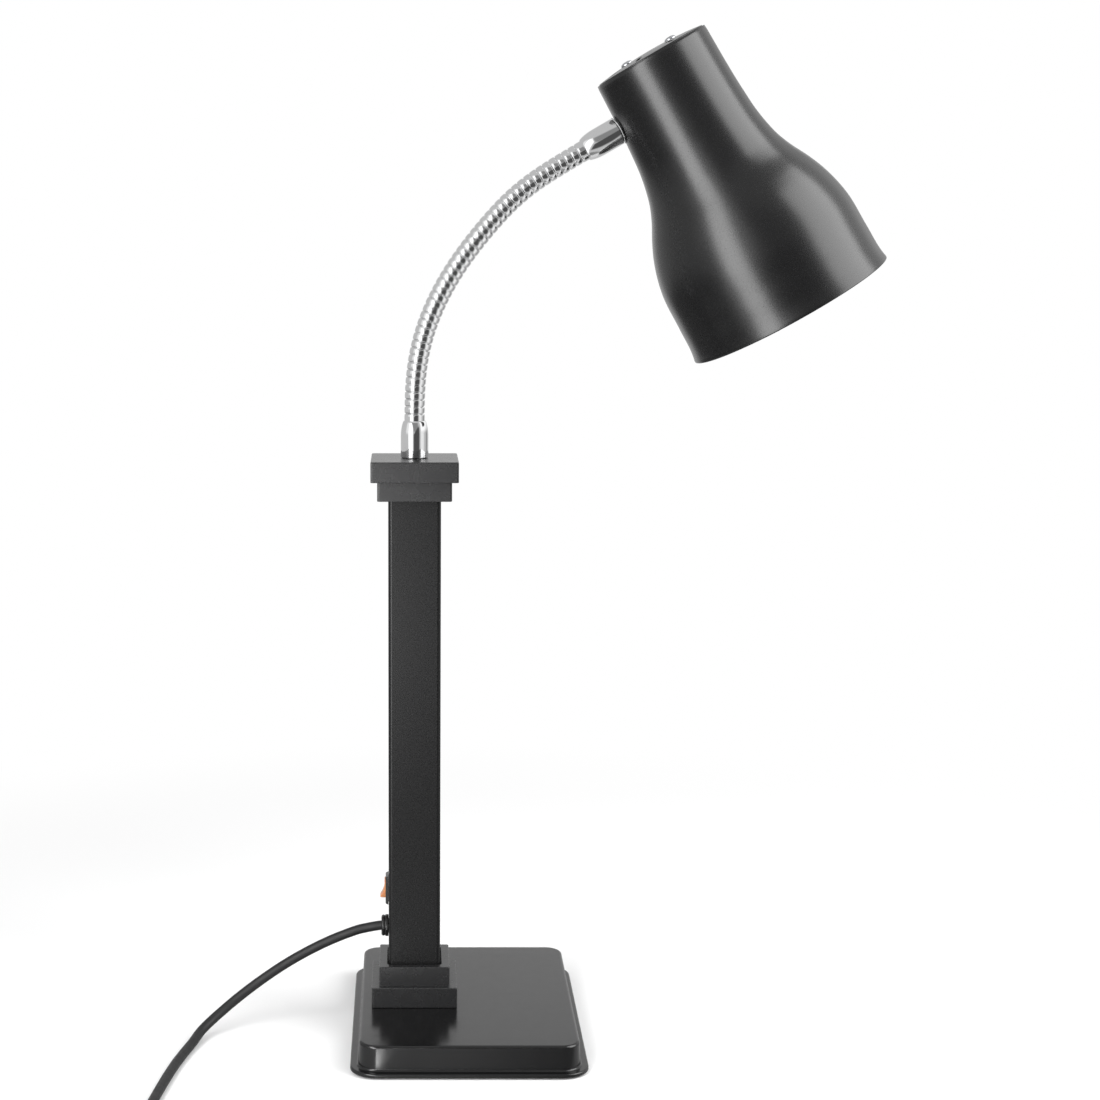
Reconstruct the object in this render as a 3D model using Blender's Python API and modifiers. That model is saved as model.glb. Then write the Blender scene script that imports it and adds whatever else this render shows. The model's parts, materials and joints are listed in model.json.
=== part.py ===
"""Heat lamp warmer: a weighted pressed-steel base, a square post with stepped mouldings at both ends,
a curved neck of ball-jointed links and a turned shade that holds an infrared reflector lamp.

Frame: the origin is the centre of the base at table height, +X points towards the lamp head, +Z is up.
Lengths below are in millimetres and become metres in the helpers.
"""

import math

import bmesh
import bpy
from mathutils import Matrix, Vector

MM = 0.001
GAP = 0.3  # clearance kept between neighbours

# ---------------------------------------------------------------- shared dimensions
PLATEAU_Z = 23.5  # top of the base cover
POST_X = -40.8  # post axis, left of the base centre
POST_W, POST_WALL, POST_R = 40.0, 1.5, 2.4
POST_Z0 = 24.1
POST_FACE_X = POST_X - POST_W / 2  # the post's -X face, with the switch and the cord
POST_BOLT_YS = (-11.0, 11.0)

CAP_Z0 = 418.5  # underside of the cap's lower tier
CAP_LOW_W, CAP_LOW_H = 56.3, 14.7
CAP_WIDE_W, CAP_WIDE_H = 66.2, 15.6
CAP_MID_Z = CAP_Z0 + CAP_LOW_H
CAP_TOP = CAP_MID_Z + CAP_WIDE_H
CAP_WEB = 4.0  # thickness of the cap's top

SWITCH_Z = 109.7
SWITCH_FRONT_X = POST_FACE_X - GAP  # back of the bezel
SWITCH_DEPTH = 13.6
SWITCH_REAR_X = SWITCH_FRONT_X + SWITCH_DEPTH
TERMINAL_LEN, TERMINAL_DZ = 8.0, 5.0
GLAND_Z = 79.5

FERRULE_LEN = 28.0
TAIL_R, BORE_R = 5.0, 3.4  # the ferrule's tail and the bore through neck and ferrules
TAIL_HOLE_R = TAIL_R + GAP
NUT_R = 8.1

# ---------------------------------------------------------------- scene and helpers
for old in list(bpy.data.objects):
    bpy.data.objects.remove(old, do_unlink=True)

PARTS = bpy.data.collections.new("heat_lamp_warmer")
CUTTERS = bpy.data.collections.new("cutters")
bpy.context.scene.collection.children.link(PARTS)
bpy.context.scene.collection.children.link(CUTTERS)


def material(name, rgb, rough, metal=0.0, alpha=1.0):
    mat = bpy.data.materials.new(name)
    mat.use_nodes = True
    inputs = mat.node_tree.nodes["Principled BSDF"].inputs
    inputs["Base Color"].default_value = (*rgb, 1)
    inputs["Roughness"].default_value = rough
    inputs["Metallic"].default_value = metal
    inputs["Alpha"].default_value = alpha
    return mat


BLACK_COAT = material("black_powder_coat", rgb=(0.02, 0.02, 0.021), rough=0.38)
BASE_COAT = material("base_satin_paint", rgb=(0.018, 0.018, 0.019), rough=0.3)
BLACK_ABS = material("black_moulding", rgb=(0.025, 0.025, 0.026), rough=0.5)
GLOSS_BLACK = material("gloss_black_nylon", rgb=(0.012, 0.012, 0.012), rough=0.22)
RUBBER = material("rubber", rgb=(0.03, 0.03, 0.03), rough=0.8)
CORD_PVC = material("cord_pvc", rgb=(0.03, 0.03, 0.032), rough=0.55)
CHROME = material("chrome", rgb=(0.8, 0.8, 0.81), rough=0.1, metal=1.0)
ZINC = material("zinc_steel", rgb=(0.6, 0.6, 0.62), rough=0.3, metal=1.0)
IRON = material("cast_iron", rgb=(0.12, 0.12, 0.12), rough=0.7, metal=1.0)
BRASS = material("brass", rgb=(0.75, 0.58, 0.28), rough=0.25, metal=1.0)
AMBER = material("amber_rocker", rgb=(0.9, 0.35, 0.06), rough=0.3)
CERAMIC = material("ceramic", rgb=(0.85, 0.83, 0.78), rough=0.35)
GLASS = material("lamp_glass", rgb=(0.9, 0.9, 0.9), rough=0.08, alpha=0.4)
BLUE_WIRE = material("wire_blue", rgb=(0.03, 0.12, 0.45), rough=0.5)
BROWN_WIRE = material("wire_brown", rgb=(0.22, 0.09, 0.03), rough=0.5)


def add(name, data, mat):
    """Links a new object into the parts; a cutter may go without a material."""
    ob = bpy.data.objects.new(name, data)
    PARTS.objects.link(ob)
    if mat:
        data.materials.append(mat)
    return ob


def add_bmesh(name, bm, mat):
    mesh = bpy.data.meshes.new(name)
    bm.to_mesh(mesh)
    bm.free()
    return add(name, mesh, mat)


def cube_bmesh(size):
    bm = bmesh.new()
    bmesh.ops.create_cube(bm, size=1.0)
    bmesh.ops.scale(bm, vec=Vector(size) * MM, verts=bm.verts)
    return bm


def box(name, size, mat=None):
    """A box centred on its origin, its size already in the mesh."""
    return add_bmesh(name, cube_bmesh(size), mat)


def bevel(bm, edges, offset, segments):
    bmesh.ops.bevel(bm, geom=edges, offset=offset * MM, segments=segments, profile=0.5,
                    affect="EDGES", clamp_overlap=True)


def rounded_box(name, size, corner, mat=None, corner_segs=2, top=0.0, top_segs=1):
    """A box with its four upright edges rounded, and then its top edge."""
    bm = cube_bmesh(size)
    half = size[2] * MM / 2
    upright = [e for e in bm.edges if abs(e.verts[0].co.z - e.verts[1].co.z) > half]
    bevel(bm, upright, corner, corner_segs)
    if top:
        rim = [e for e in bm.edges if all(v.co.z > half - 1e-6 for v in e.verts)]
        bevel(bm, rim, top, top_segs)
    return add_bmesh(name, bm, mat)


def block(name, size_x, size_y, z_low, z_high, corner, mat=None, x=0.0, **edges):
    """A rounded box that stands between two heights, its axis at x."""
    ob = rounded_box(name, (size_x, size_y, z_high - z_low), corner, mat, **edges)
    return place(ob, (x, 0, (z_low + z_high) / 2))


def cylinder(name, radius, length, sides=20, mat=None):
    """A cylinder along its own Z, centred on its origin."""
    bm = bmesh.new()
    bmesh.ops.create_cone(bm, cap_ends=True, segments=sides, radius1=radius * MM,
                          radius2=radius * MM, depth=length * MM)
    return add_bmesh(name, bm, mat)


def turned(name, profile, mat, steps, closed=False):
    """A solid turned about its own Z from (radius, height) pairs joined in order.
    An open profile starts and ends on the axis; a closed one returns to its first point."""
    bm = bmesh.new()
    verts = [bm.verts.new((radius * MM, 0, z * MM)) for radius, z in profile]
    for start, end in zip(verts, verts[1:]):
        bm.edges.new((start, end))
    if closed:
        bm.edges.new((verts[-1], verts[0]))
    ob = add_bmesh(name, bm, mat)
    screw = ob.modifiers.new("turn", "SCREW")
    screw.axis = "Z"
    screw.angle = 2 * math.pi
    screw.steps = steps
    screw.render_steps = steps
    screw.use_merge_vertices = True
    screw.merge_threshold = 0.00001
    screw.use_normal_calculate = False
    screw.use_smooth_shade = True
    return ob


def orient(ob, quaternion):
    ob.rotation_mode = "QUATERNION"
    ob.rotation_quaternion = quaternion
    return ob


def place(ob, xyz, along=None):
    """Puts an object at xyz in mm; its own Z can be laid along a direction."""
    ob.location = Vector(xyz) * MM
    if along is not None:
        orient(ob, Vector((0, 0, 1)).rotation_difference(Vector(along).normalized()))
    return ob


def boolean(ob, other, operation):
    """Applies the other object to ob and puts it away among the cutters."""
    PARTS.objects.unlink(other)
    CUTTERS.objects.link(other)
    other.hide_render = True
    other.display_type = "WIRE"
    modifier = ob.modifiers.new(operation.lower(), "BOOLEAN")
    modifier.operation = operation
    modifier.solver = "EXACT"
    modifier.object = other


def cut(ob, other):
    boolean(ob, other, "DIFFERENCE")


def join(ob, other):
    boolean(ob, other, "UNION")


def hex_nut(name, bore_name, radius, length, bore_r, mat, centre, bore_centre, along=None):
    nut = place(cylinder(name, radius, length, 6, mat), centre, along)
    cut(nut, place(cylinder(bore_name, bore_r, 20), bore_centre, along))


def poly_spline(curve, points):
    """Adds a straight-sided spline through points in mm."""
    spline = curve.splines.new("POLY")
    spline.points.add(len(points) - 1)
    for target, point in zip(spline.points, points):
        target.co = (*(Vector(point) * MM), 1)
    return spline


def wire(name, points, radius, mat, bevel_res=1):
    """A round wire through points in mm, as a poly curve with filled caps."""
    curve = bpy.data.curves.new(name, "CURVE")
    curve.dimensions = "3D"
    curve.bevel_depth = radius * MM
    curve.bevel_resolution = bevel_res
    curve.use_fill_caps = True
    poly_spline(curve, points)
    return add(name, curve, mat)


def smooth_path(knots, per_span):
    """Catmull-Rom points through the knots."""
    ks = [Vector(knot) for knot in knots]
    ks = [2 * ks[0] - ks[1]] + ks + [2 * ks[-1] - ks[-2]]
    path = []
    for before, start, end, after in zip(ks, ks[1:], ks[2:], ks[3:]):
        for i in range(per_span):
            t = i / per_span
            path.append(0.5 * ((2 * start) + (end - before) * t
                               + (2 * before - 5 * start + 4 * end - after) * t * t
                               + (3 * start - before - 3 * end + after) * t ** 3))
    path.append(ks[-2])
    return path


def post_path(knots, per_span):
    """A smooth path through knots whose x is measured from the post axis."""
    return smooth_path([(POST_X + x, y, z) for x, y, z in knots], per_span)


# ---------------------------------------------------------------- base
FLANGE_X, FLANGE_Y, FLANGE_R = 178.0, 238.0, 20.0
FLANGE_Z0, FLANGE_Z1 = 1.5, 4.4
PLATEAU_X, PLATEAU_Y, PLATEAU_R = 165.6, 225.0, 14.0
SHEET = 1.5  # thickness of the cover's walls and top
BOLT_HOLE_R = 3.4
CORNERS = [(sx, sy) for sx in (-1, 1) for sy in (-1, 1)]
SCREW_X, SCREW_Y = 64.0, 76.0
FOOT_X, FOOT_Y = 66.0, 95.0

# outlines as (radius, height above the table)
PLATE_SCREW = [(0, 13.0), (1.9, 13.0), (1.9, 1.9), (3.7, 1.9), (3.7, 1.1), (2.9, 0.5), (0, 0.5)]
RUBBER_FOOT = [(0, 1.9), (9.0, 1.9), (9.0, 0.5), (8.5, 0), (0, 0)]
POST_BOLT = [(0, 33.5), (3.0, 33.5), (3.0, 7.3), (5.2, 7.3), (5.2, 4.9), (4.2, 3.9), (0, 3.9)]


def cut_bolt_holes(ob, prefix, length, sides, z):
    for i, y in enumerate(POST_BOLT_YS):
        hole = cylinder(f"{prefix}_{i + 1}", BOLT_HOLE_R, length, sides)
        cut(ob, place(hole, (POST_X, y, z)))


def build_cover():
    cover = block("base_cover", FLANGE_X, FLANGE_Y, FLANGE_Z0, FLANGE_Z1, FLANGE_R, BASE_COAT,
                  corner_segs=6, top=1.1, top_segs=2)
    join(cover, block("plateau_block", PLATEAU_X, PLATEAU_Y, 2.5, PLATEAU_Z, PLATEAU_R,
                      corner_segs=6, top=2.4, top_segs=3))
    cut(cover, block("cover_hollow", PLATEAU_X - 2 * SHEET, PLATEAU_Y - 2 * SHEET,
                     -5.0, PLATEAU_Z - SHEET, PLATEAU_R - SHEET,
                     corner_segs=6, top=1.2, top_segs=3))
    cut_bolt_holes(cover, "cover_bolt_hole", 10, 10, PLATEAU_Z)


def build_ballast():
    ballast = block("base_ballast", 148.0, 204.0, 7.7, 21.7, 8.0, IRON, corner_segs=3)
    cut_bolt_holes(ballast, "ballast_bolt_hole", 30, 12, 15)
    for i, (sx, sy) in enumerate(CORNERS):
        hole = cylinder(f"tapped_hole_{i + 1}", 2.3, 14, 10)
        cut(ballast, place(hole, (sx * SCREW_X, sy * SCREW_Y, 10)))


def build_base_plate():
    plate = block("base_plate", 160.0, 218.0, 2.2, 3.4, 11.0, ZINC, corner_segs=3)
    # a shallow raised panel in the middle of the underside
    join(plate, block("plate_panel", 70.0, 50.0, 1.9, 2.9, 4.0, corner_segs=3))
    for i, (sx, sy) in enumerate(CORNERS):
        hole = cylinder(f"plate_hole_{i + 1}", 2.4, 6, 10)
        cut(plate, place(hole, (sx * SCREW_X, sy * SCREW_Y, 3)))


def build_base_fixings():
    for i, (sx, sy) in enumerate(CORNERS):
        screw = turned(f"plate_screw_{i + 1}", PLATE_SCREW, ZINC, 8)
        place(screw, (sx * SCREW_X, sy * SCREW_Y, 0))
        foot = turned(f"rubber_foot_{i + 1}", RUBBER_FOOT, RUBBER, 14)
        place(foot, (sx * FOOT_X, sy * FOOT_Y, 0))
    for i, y in enumerate(POST_BOLT_YS):
        place(turned(f"post_bolt_{i + 1}", POST_BOLT, ZINC, 8), (POST_X, y, 0))


# ---------------------------------------------------------------- post, collar and cap
COLLAR_WIDE_W, COLLAR_WIDE_H = 66.2, 16.2
COLLAR_BLOCK_W, COLLAR_BLOCK_H = 54.5, 14.8
COLLAR_WALL = 2.5
TIER_LAP = 2.0  # how far one tier of a moulding runs into the other
TIER_CORNER, TIER_TOP = 1.0, 0.8  # roundings of a tier's upright and top edges
CAP_SOCKET_DEPTH = 14.2
TUBE_TOP = CAP_Z0 + CAP_SOCKET_DEPTH - GAP
SLEEVE_W = POST_W + 2 * GAP  # opening that clears the post


def post_block(name, width, z_low, z_high, corner, mat=None, **edges):
    """A square rounded block on the post's axis."""
    return block(name, width, width, z_low, z_high, corner, mat, x=POST_X, **edges)


def post_hollow(name, width, height, z_top):
    """A square sharp-edged cutter on the post's axis, reaching down from z_top."""
    return place(box(name, (width, width, height)), (POST_X, 0, z_top - height / 2))


def build_collar():
    mid_z = PLATEAU_Z + COLLAR_WIDE_H
    top_z = mid_z + COLLAR_BLOCK_H
    collar = post_block("lower_collar", COLLAR_WIDE_W, PLATEAU_Z + GAP, mid_z, TIER_CORNER,
                        BLACK_ABS, top=TIER_TOP)
    join(collar, post_block("collar_block", COLLAR_BLOCK_W, mid_z - TIER_LAP, top_z,
                            TIER_CORNER, top=TIER_TOP))
    for name, width, z in (("collar_hollow_low", COLLAR_WIDE_W, mid_z),
                           ("collar_hollow_high", COLLAR_BLOCK_W, top_z)):
        cut(collar, post_hollow(name, width - 2 * COLLAR_WALL, 30, z - COLLAR_WALL))
    cut(collar, post_block("collar_post_hole", SLEEVE_W, mid_z - 40, mid_z + 40, POST_R))


def build_tube():
    tube = post_block("post_tube", POST_W, POST_Z0, TUBE_TOP, POST_R, BLACK_COAT, corner_segs=3)
    cut(tube, post_block("tube_bore", POST_W - 2 * POST_WALL, -20, 480, POST_R - 1.2))
    cut(tube, place(box("switch_cutout", (6, 13.0, 19.2)), (POST_FACE_X, 0, SWITCH_Z)))
    cut(tube, place(cylinder("gland_hole", 6.4, 6), (POST_FACE_X, 0, GLAND_Z), (1, 0, 0)))


def build_post_foot():
    z_low = POST_Z0 + 0.2
    foot = post_block("post_foot", 36.4, z_low, z_low + 10.0, 1.6, ZINC)
    cut_bolt_holes(foot, "foot_tapped_hole", 30, 12, 30)


def build_cap():
    cap = post_block("post_cap", CAP_WIDE_W, CAP_MID_Z, CAP_TOP, TIER_CORNER, BLACK_ABS,
                     top=TIER_TOP)
    join(cap, post_block("cap_low_block", CAP_LOW_W, CAP_Z0, CAP_MID_Z + TIER_LAP, 2.0))
    cut(cap, post_block("cap_socket", SLEEVE_W, CAP_Z0 - 10, CAP_Z0 + CAP_SOCKET_DEPTH, POST_R))
    cut(cap, post_hollow("cap_hollow", 34, 22, CAP_TOP - CAP_WEB))
    cut(cap, place(cylinder("cap_tail_hole", TAIL_HOLE_R, 20), (POST_X, 0, CAP_TOP)))


# ---------------------------------------------------------------- switch
BEZEL_H, BEZEL_W, BEZEL_T = 24.4, 16.0, 2.2
BODY_LAP = 0.5  # how far the switch body runs into the bezel
CAVITY_LEN, CAVITY_OUT = 14.0, 3.0  # the cavity and how far it starts outside the bezel's back
ROCKER_TILT = 12.0  # degrees from level
ROCKER_HALF_W = 5.0
# side outline of the V-faced rocker as (x towards the post, y up) from its pivot
ROCKER_OUTLINE = [(-4.1, 7.0), (-3.6, 7.15), (-0.8, 6.6), (3.6, 2.6), (3.6, -2.6),
                  (-0.8, -6.6), (-3.6, -7.15), (-4.1, -7.0), (-2.6, 0)]


def build_switch_housing():
    house = rounded_box("switch_housing", (BEZEL_W, BEZEL_H, BEZEL_T), 1.2, BLACK_ABS, top=0.7)
    place(house, (SWITCH_FRONT_X - BEZEL_T / 2, 0, SWITCH_Z))
    # the bezel's own Z points out of the post, its own Y is upright
    orient(house, Matrix(((0, 0, -1), (-1, 0, 0), (0, 1, 0))).to_quaternion())
    body = box("switch_body_block", (SWITCH_DEPTH + BODY_LAP, 12.4, 18.6))
    body_x = SWITCH_FRONT_X + SWITCH_DEPTH / 2 - BODY_LAP / 2
    join(house, place(body, (body_x, 0, SWITCH_Z)))
    cavity = box("switch_cavity", (CAVITY_LEN, 10.8, 16.4))
    cut(house, place(cavity, (SWITCH_FRONT_X - CAVITY_OUT + CAVITY_LEN / 2, 0, SWITCH_Z)))


def build_rocker():
    curve = bpy.data.curves.new("rocker_outline", "CURVE")
    curve.dimensions = "2D"
    curve.fill_mode = "BOTH"
    curve.extrude = ROCKER_HALF_W * MM
    spline = poly_spline(curve, [(x, y, 0) for x, y in ROCKER_OUTLINE])
    spline.use_cyclic_u = True
    rocker = add("switch_rocker", curve, AMBER)
    place(rocker, (SWITCH_FRONT_X - 0.3, 0, SWITCH_Z))
    # upright, then tilted so that its lower end stands out
    tilt = Matrix.Rotation(math.radians(ROCKER_TILT), 4, "Y")
    orient(rocker, (tilt @ Matrix.Rotation(math.pi / 2, 4, "X")).to_quaternion())


def build_terminals():
    x = SWITCH_REAR_X + GAP + TERMINAL_LEN / 2
    for i, dz in enumerate((-TERMINAL_DZ, TERMINAL_DZ)):
        terminal = box(f"switch_terminal_{i + 1}", (TERMINAL_LEN, 4.8, 0.8), BRASS)
        place(terminal, (x, 0, SWITCH_Z + dz))


# ---------------------------------------------------------------- gland, cord, plug and leads
GLAND_R, GLAND_PROUD = 8.6, 5.8
GLAND_THREAD_R = 6.0
GLAND_NUT_LEN = 3.4
CORD_R = 3.7
LEAD_R = 1.1
LEAD_END_X = SWITCH_REAR_X + GAP + TERMINAL_LEN + 1.5 - POST_X  # lead ends, from the post axis
PLUG_X, PLUG_Y, PLUG_Z = POST_X - 190.0, -238.0, 13.2  # centre of the plug's cord end
PLUG_LEN = 42.0
PIN_T, PIN_H = 1.6, 6.3

# (radius, distance out of the post's face)
GLAND_PROFILE = [
    (7.2, GLAND_PROUD), (GLAND_R - 0.3, GLAND_PROUD - 0.6), (GLAND_R, GLAND_PROUD - 1.8),
    (GLAND_R, GAP), (GLAND_THREAD_R, GAP), (GLAND_THREAD_R, -7.5), (4.1, -7.5),
    (4.1, GLAND_PROUD)]

# knots of the cord and leads: (x from the post axis, y, z)
CORD_KNOTS = [
    (-8, 0, GLAND_Z), (-16, 0, GLAND_Z), (-26.5, 0, GLAND_Z - 0.2), (-38, 0, 77.3),
    (-47.5, 0, 74.7), (-66.4, -0.5, 67.2), (-85.5, -1.5, 57.8), (-104.6, -4.5, 47.2),
    (-126.2, -10.0, 33.4), (-145.8, -19.0, 20.0), (-163.0, -36.0, 8.8), (-170.0, -57.0, 4.9),
    (-176.0, -82.0, CORD_R + 0.2), (-181.0, -111.0, CORD_R + 0.1),
    (-187.0, -160.0, CORD_R + 0.1), (-189.5, -190.0, CORD_R + 0.1), (-190.0, -212.0, 8.0),
    (-190.0, -228.0, 12.4), (-190.0, -239.0, 13.0), (-190.0, -250.0, 13.0)]
LIVE_IN_KNOTS = [
    (-6.4, 1.6, GLAND_Z), (-1.0, 1.6, GLAND_Z + 3), (LEAD_END_X, 1.0, 92),
    (LEAD_END_X, 0, SWITCH_Z - TERMINAL_DZ)]
SWITCHED_KNOTS = [
    (LEAD_END_X, 0, SWITCH_Z + TERMINAL_DZ), (5, 0, 140), (6, 0, 200), (5, 0, 340),
    (1.45, 0, 425), (1.45, 0, 450), (1.45, 0, 474)]
NEUTRAL_KNOTS = [
    (-6.4, -1.6, GLAND_Z), (2, -6, GLAND_Z + 6), (2, -9, 140), (-2, -8, 300),
    (-1.45, -3, 400), (-1.45, 0, 436), (-1.45, 0, 474)]

# name, x and z from the plug's axis, length, lean in degrees
PLUG_PINS = (("plug_pin_live", -6.0, 3.0, 17.0, 30.0),
             ("plug_pin_neutral", 6.0, 3.0, 17.0, -30.0),
             ("plug_pin_earth", 0.0, -7.0, 20.0, 0.0))


def build_gland():
    gland = turned("cord_gland", GLAND_PROFILE, GLOSS_BLACK, 16, closed=True)
    place(gland, (POST_FACE_X, 0, GLAND_Z), (-1, 0, 0))
    nut_x = POST_FACE_X + POST_WALL + GAP + GLAND_NUT_LEN / 2
    hex_nut("gland_nut", "gland_nut_bore", 9.0, GLAND_NUT_LEN, GLAND_THREAD_R + GAP, GLOSS_BLACK,
            (nut_x, 0, GLAND_Z), (POST_FACE_X, 0, GLAND_Z), (1, 0, 0))


def build_plug():
    """A moulded body lying beside the base, its own Z along the cord's last run (-Y)."""
    body = rounded_box("plug_body", (34.0, 25.6, PLUG_LEN), 7.0, GLOSS_BLACK,
                       corner_segs=3, top=2.5, top_segs=2)
    place(body, (PLUG_X, PLUG_Y - PLUG_LEN / 2, PLUG_Z), (0, -1, 0))
    bore = cylinder("plug_cord_bore", CORD_R + 0.5, 32, 16)
    cut(body, place(bore, (PLUG_X, PLUG_Y, PLUG_Z - 0.2), (0, 1, 0)))
    pin_y = PLUG_Y - PLUG_LEN - GAP
    for name, dx, dz, length, lean in PLUG_PINS:
        pin = box(name, (PIN_T, length, PIN_H), BRASS)
        place(pin, (PLUG_X + dx, pin_y - length / 2, PLUG_Z + dz))
        pin.rotation_euler = (0, math.radians(lean), 0)


def build_wires():
    """The power cord outside the post and the leads inside it."""
    wire("power_cord", post_path(CORD_KNOTS, 2), CORD_R, CORD_PVC, bevel_res=2)
    wire("lead_live_in", post_path(LIVE_IN_KNOTS, 4), LEAD_R, BROWN_WIRE)
    wire("lead_switched", post_path(SWITCHED_KNOTS, 3), LEAD_R, BROWN_WIRE)
    wire("lead_neutral", post_path(NEUTRAL_KNOTS, 3), LEAD_R, BLUE_WIRE)


# ---------------------------------------------------------------- neck
FERRULE_R, FERRULE_NECK_R = 10.55, 8.6
HOSE_R = 7.8
NECK_BEND = 60.0  # degrees from vertical at the head
NECK_LEN = 252.0
NECK_JOINTS = 13
LINK_PITCH = NECK_LEN / NECK_JOINTS
# (share of the neck's length, tangent angle as a share of the total bend)
NECK_SHAPE = ((0.0, 0.0), (0.10, 0.04), (0.20, 0.18), (0.30, 0.335), (0.42, 0.495), (0.55, 0.62),
              (0.70, 0.72), (0.85, 0.945), (0.95, 1.0), (1.0, 1.0))
LINK_GAP = 0.9  # half the gap between two link skirts
BALL_R, SOCKET_R = 5.8, 6.6
BALL_DEGREES = (82, 90, 112, 134)  # stations on the ball, measured from its link's own +Z
STUB_R, STUB_LEN = 6.0, 5.2  # plain ends of the neck, held in the ferrules
LOWER_NUT_LEN = 3.2


def neck_angle(share):
    """Tangent angle in radians at a share of the neck's length."""
    for (low, low_bend), (high, high_bend) in zip(NECK_SHAPE, NECK_SHAPE[1:]):
        if share <= high:
            bend = low_bend + (high_bend - low_bend) * (share - low) / (high - low)
            return math.radians(NECK_BEND * bend)


def neck_frames():
    """The links' origins and directions, and the neck's end, in mm.
    The first link starts at the lower ferrule, the others at a joint centre."""
    angles = [neck_angle(k / NECK_JOINTS) for k in range(NECK_JOINTS + 1)]
    dirs = [Vector((math.sin(a), 0, math.cos(a))) for a in angles]
    start = Vector((POST_X, 0, CAP_TOP + GAP + FERRULE_LEN))
    origins = [start, start + dirs[0] * LINK_PITCH / 2]
    for direction in dirs[1:-1]:
        origins.append(origins[-1] + direction * LINK_PITCH)
    return origins, dirs, origins[-1] + dirs[-1] * LINK_PITCH / 2


def ball_end():
    """A link's lower end: the skirt's edge, then the ball about height 0, down to the bore."""
    angles = [math.radians(degrees) for degrees in BALL_DEGREES]
    points = [(BALL_R * math.sin(a), BALL_R * math.cos(a)) for a in angles]
    return [(HOSE_R, LINK_GAP)] + points + [(BORE_R, BALL_R * math.cos(angles[-1]))]


def socket_arc(centre):
    """A link's upper inside: a socket about a height, from the bore up to its mouth."""
    lowest = math.pi - math.asin(BORE_R / SOCKET_R)
    highest = math.acos(-LINK_GAP / SOCKET_R)
    angles = [lowest + (highest - lowest) * i / 3 for i in range(4)]
    return [(SOCKET_R * math.sin(a), centre + SOCKET_R * math.cos(a)) for a in angles]


def link_profile(k):
    half = LINK_PITCH / 2
    if k == 0:
        return [(HOSE_R, half - LINK_GAP), (HOSE_R, GAP), (STUB_R, GAP), (STUB_R, -STUB_LEN),
                (BORE_R, -STUB_LEN)] + socket_arc(half)
    if k == NECK_JOINTS:
        return [(STUB_R, half + STUB_LEN), (STUB_R, half - GAP), (HOSE_R, half - GAP),
                *ball_end(), (BORE_R, half + STUB_LEN)]
    return [(HOSE_R, LINK_PITCH - LINK_GAP)] + ball_end() + socket_arc(LINK_PITCH)


def ferrule(name, tail_len):
    """A ferrule: own Z points towards the neck, height 0 is the face it clamps with."""
    stub_floor = FERRULE_LEN - 5.6
    profile = [
        (FERRULE_NECK_R, FERRULE_LEN), (FERRULE_R - 0.4, FERRULE_LEN - 6.5),
        (FERRULE_R, FERRULE_LEN - 8.0), (FERRULE_R, 0.0), (TAIL_R, 0.0), (TAIL_R, -tail_len),
        (BORE_R, -tail_len), (BORE_R, stub_floor), (STUB_R + GAP, stub_floor),
        (STUB_R + GAP, FERRULE_LEN)]
    return turned(name, profile, CHROME, 18, closed=True)


def build_neck():
    """Builds links and ferrules; returns the neck's end and its direction there."""
    origins, dirs, end = neck_frames()
    for k, (origin, direction) in enumerate(zip(origins, dirs)):
        link = turned(f"neck_link_{k:02d}", link_profile(k), CHROME, 12, closed=True)
        place(link, origin, direction)
    place(ferrule("ferrule_lower", 12.0), (POST_X, 0, CAP_TOP + GAP))
    place(ferrule("ferrule_upper", 11.2), end + dirs[-1] * FERRULE_LEN, -dirs[-1])
    nut_z = CAP_TOP - CAP_WEB - GAP - LOWER_NUT_LEN / 2
    hex_nut("ferrule_nut_lower", "nut_bore_lower", NUT_R, LOWER_NUT_LEN, TAIL_HOLE_R, ZINC,
            (POST_X, 0, nut_z), (POST_X, 0, CAP_TOP - 6))
    return end, dirs[-1]


# ---------------------------------------------------------------- head
SHADE_WALL = 1.0
FERRULE_DROP = 37.7  # ferrule axis below the shade's top rim
SHADE_R_AT_FERRULE = 46.2257692308
WASHER_LIFT, WASHER_T = 0.2, 0.9  # gap from ferrule to washer, washer thickness
WASHER_TO_SHADE = 0.75  # the shade widens a little below the washer
BRACKET_W, BRACKET_T = 18.0, 1.5
BRACKET_DROP = 2.3  # bracket's top below the rim
LEG_LEN, LEG_OFFSET = 48.0, 41.4  # the leg and its distance from the shade's axis
FLAT_LEN = 70.0
UPPER_NUT_LEN = 3.0
PLATE_DROP, PLATE_T = 0.5, 1.4
SCREW_OFFSETS = (18.3, -18.3)  # from the shade's axis, towards the ferrule
VENT_COUNT, VENT_RING_R = 8, 33.0
RING_DROP = 104.0  # filament ring below the rim

# (distance below the top rim, outer radius)
SHADE_PROFILE = (
    (0, 44.9), (56, 47.0), (76, 48.8), (88, 51.0), (98, 53.6), (108, 57.6), (124, 65.8),
    (134, 70.2), (146, 74.2), (160, 77.3), (190, 78.7), (212, 79.6), (218.0, 80.6))

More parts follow.
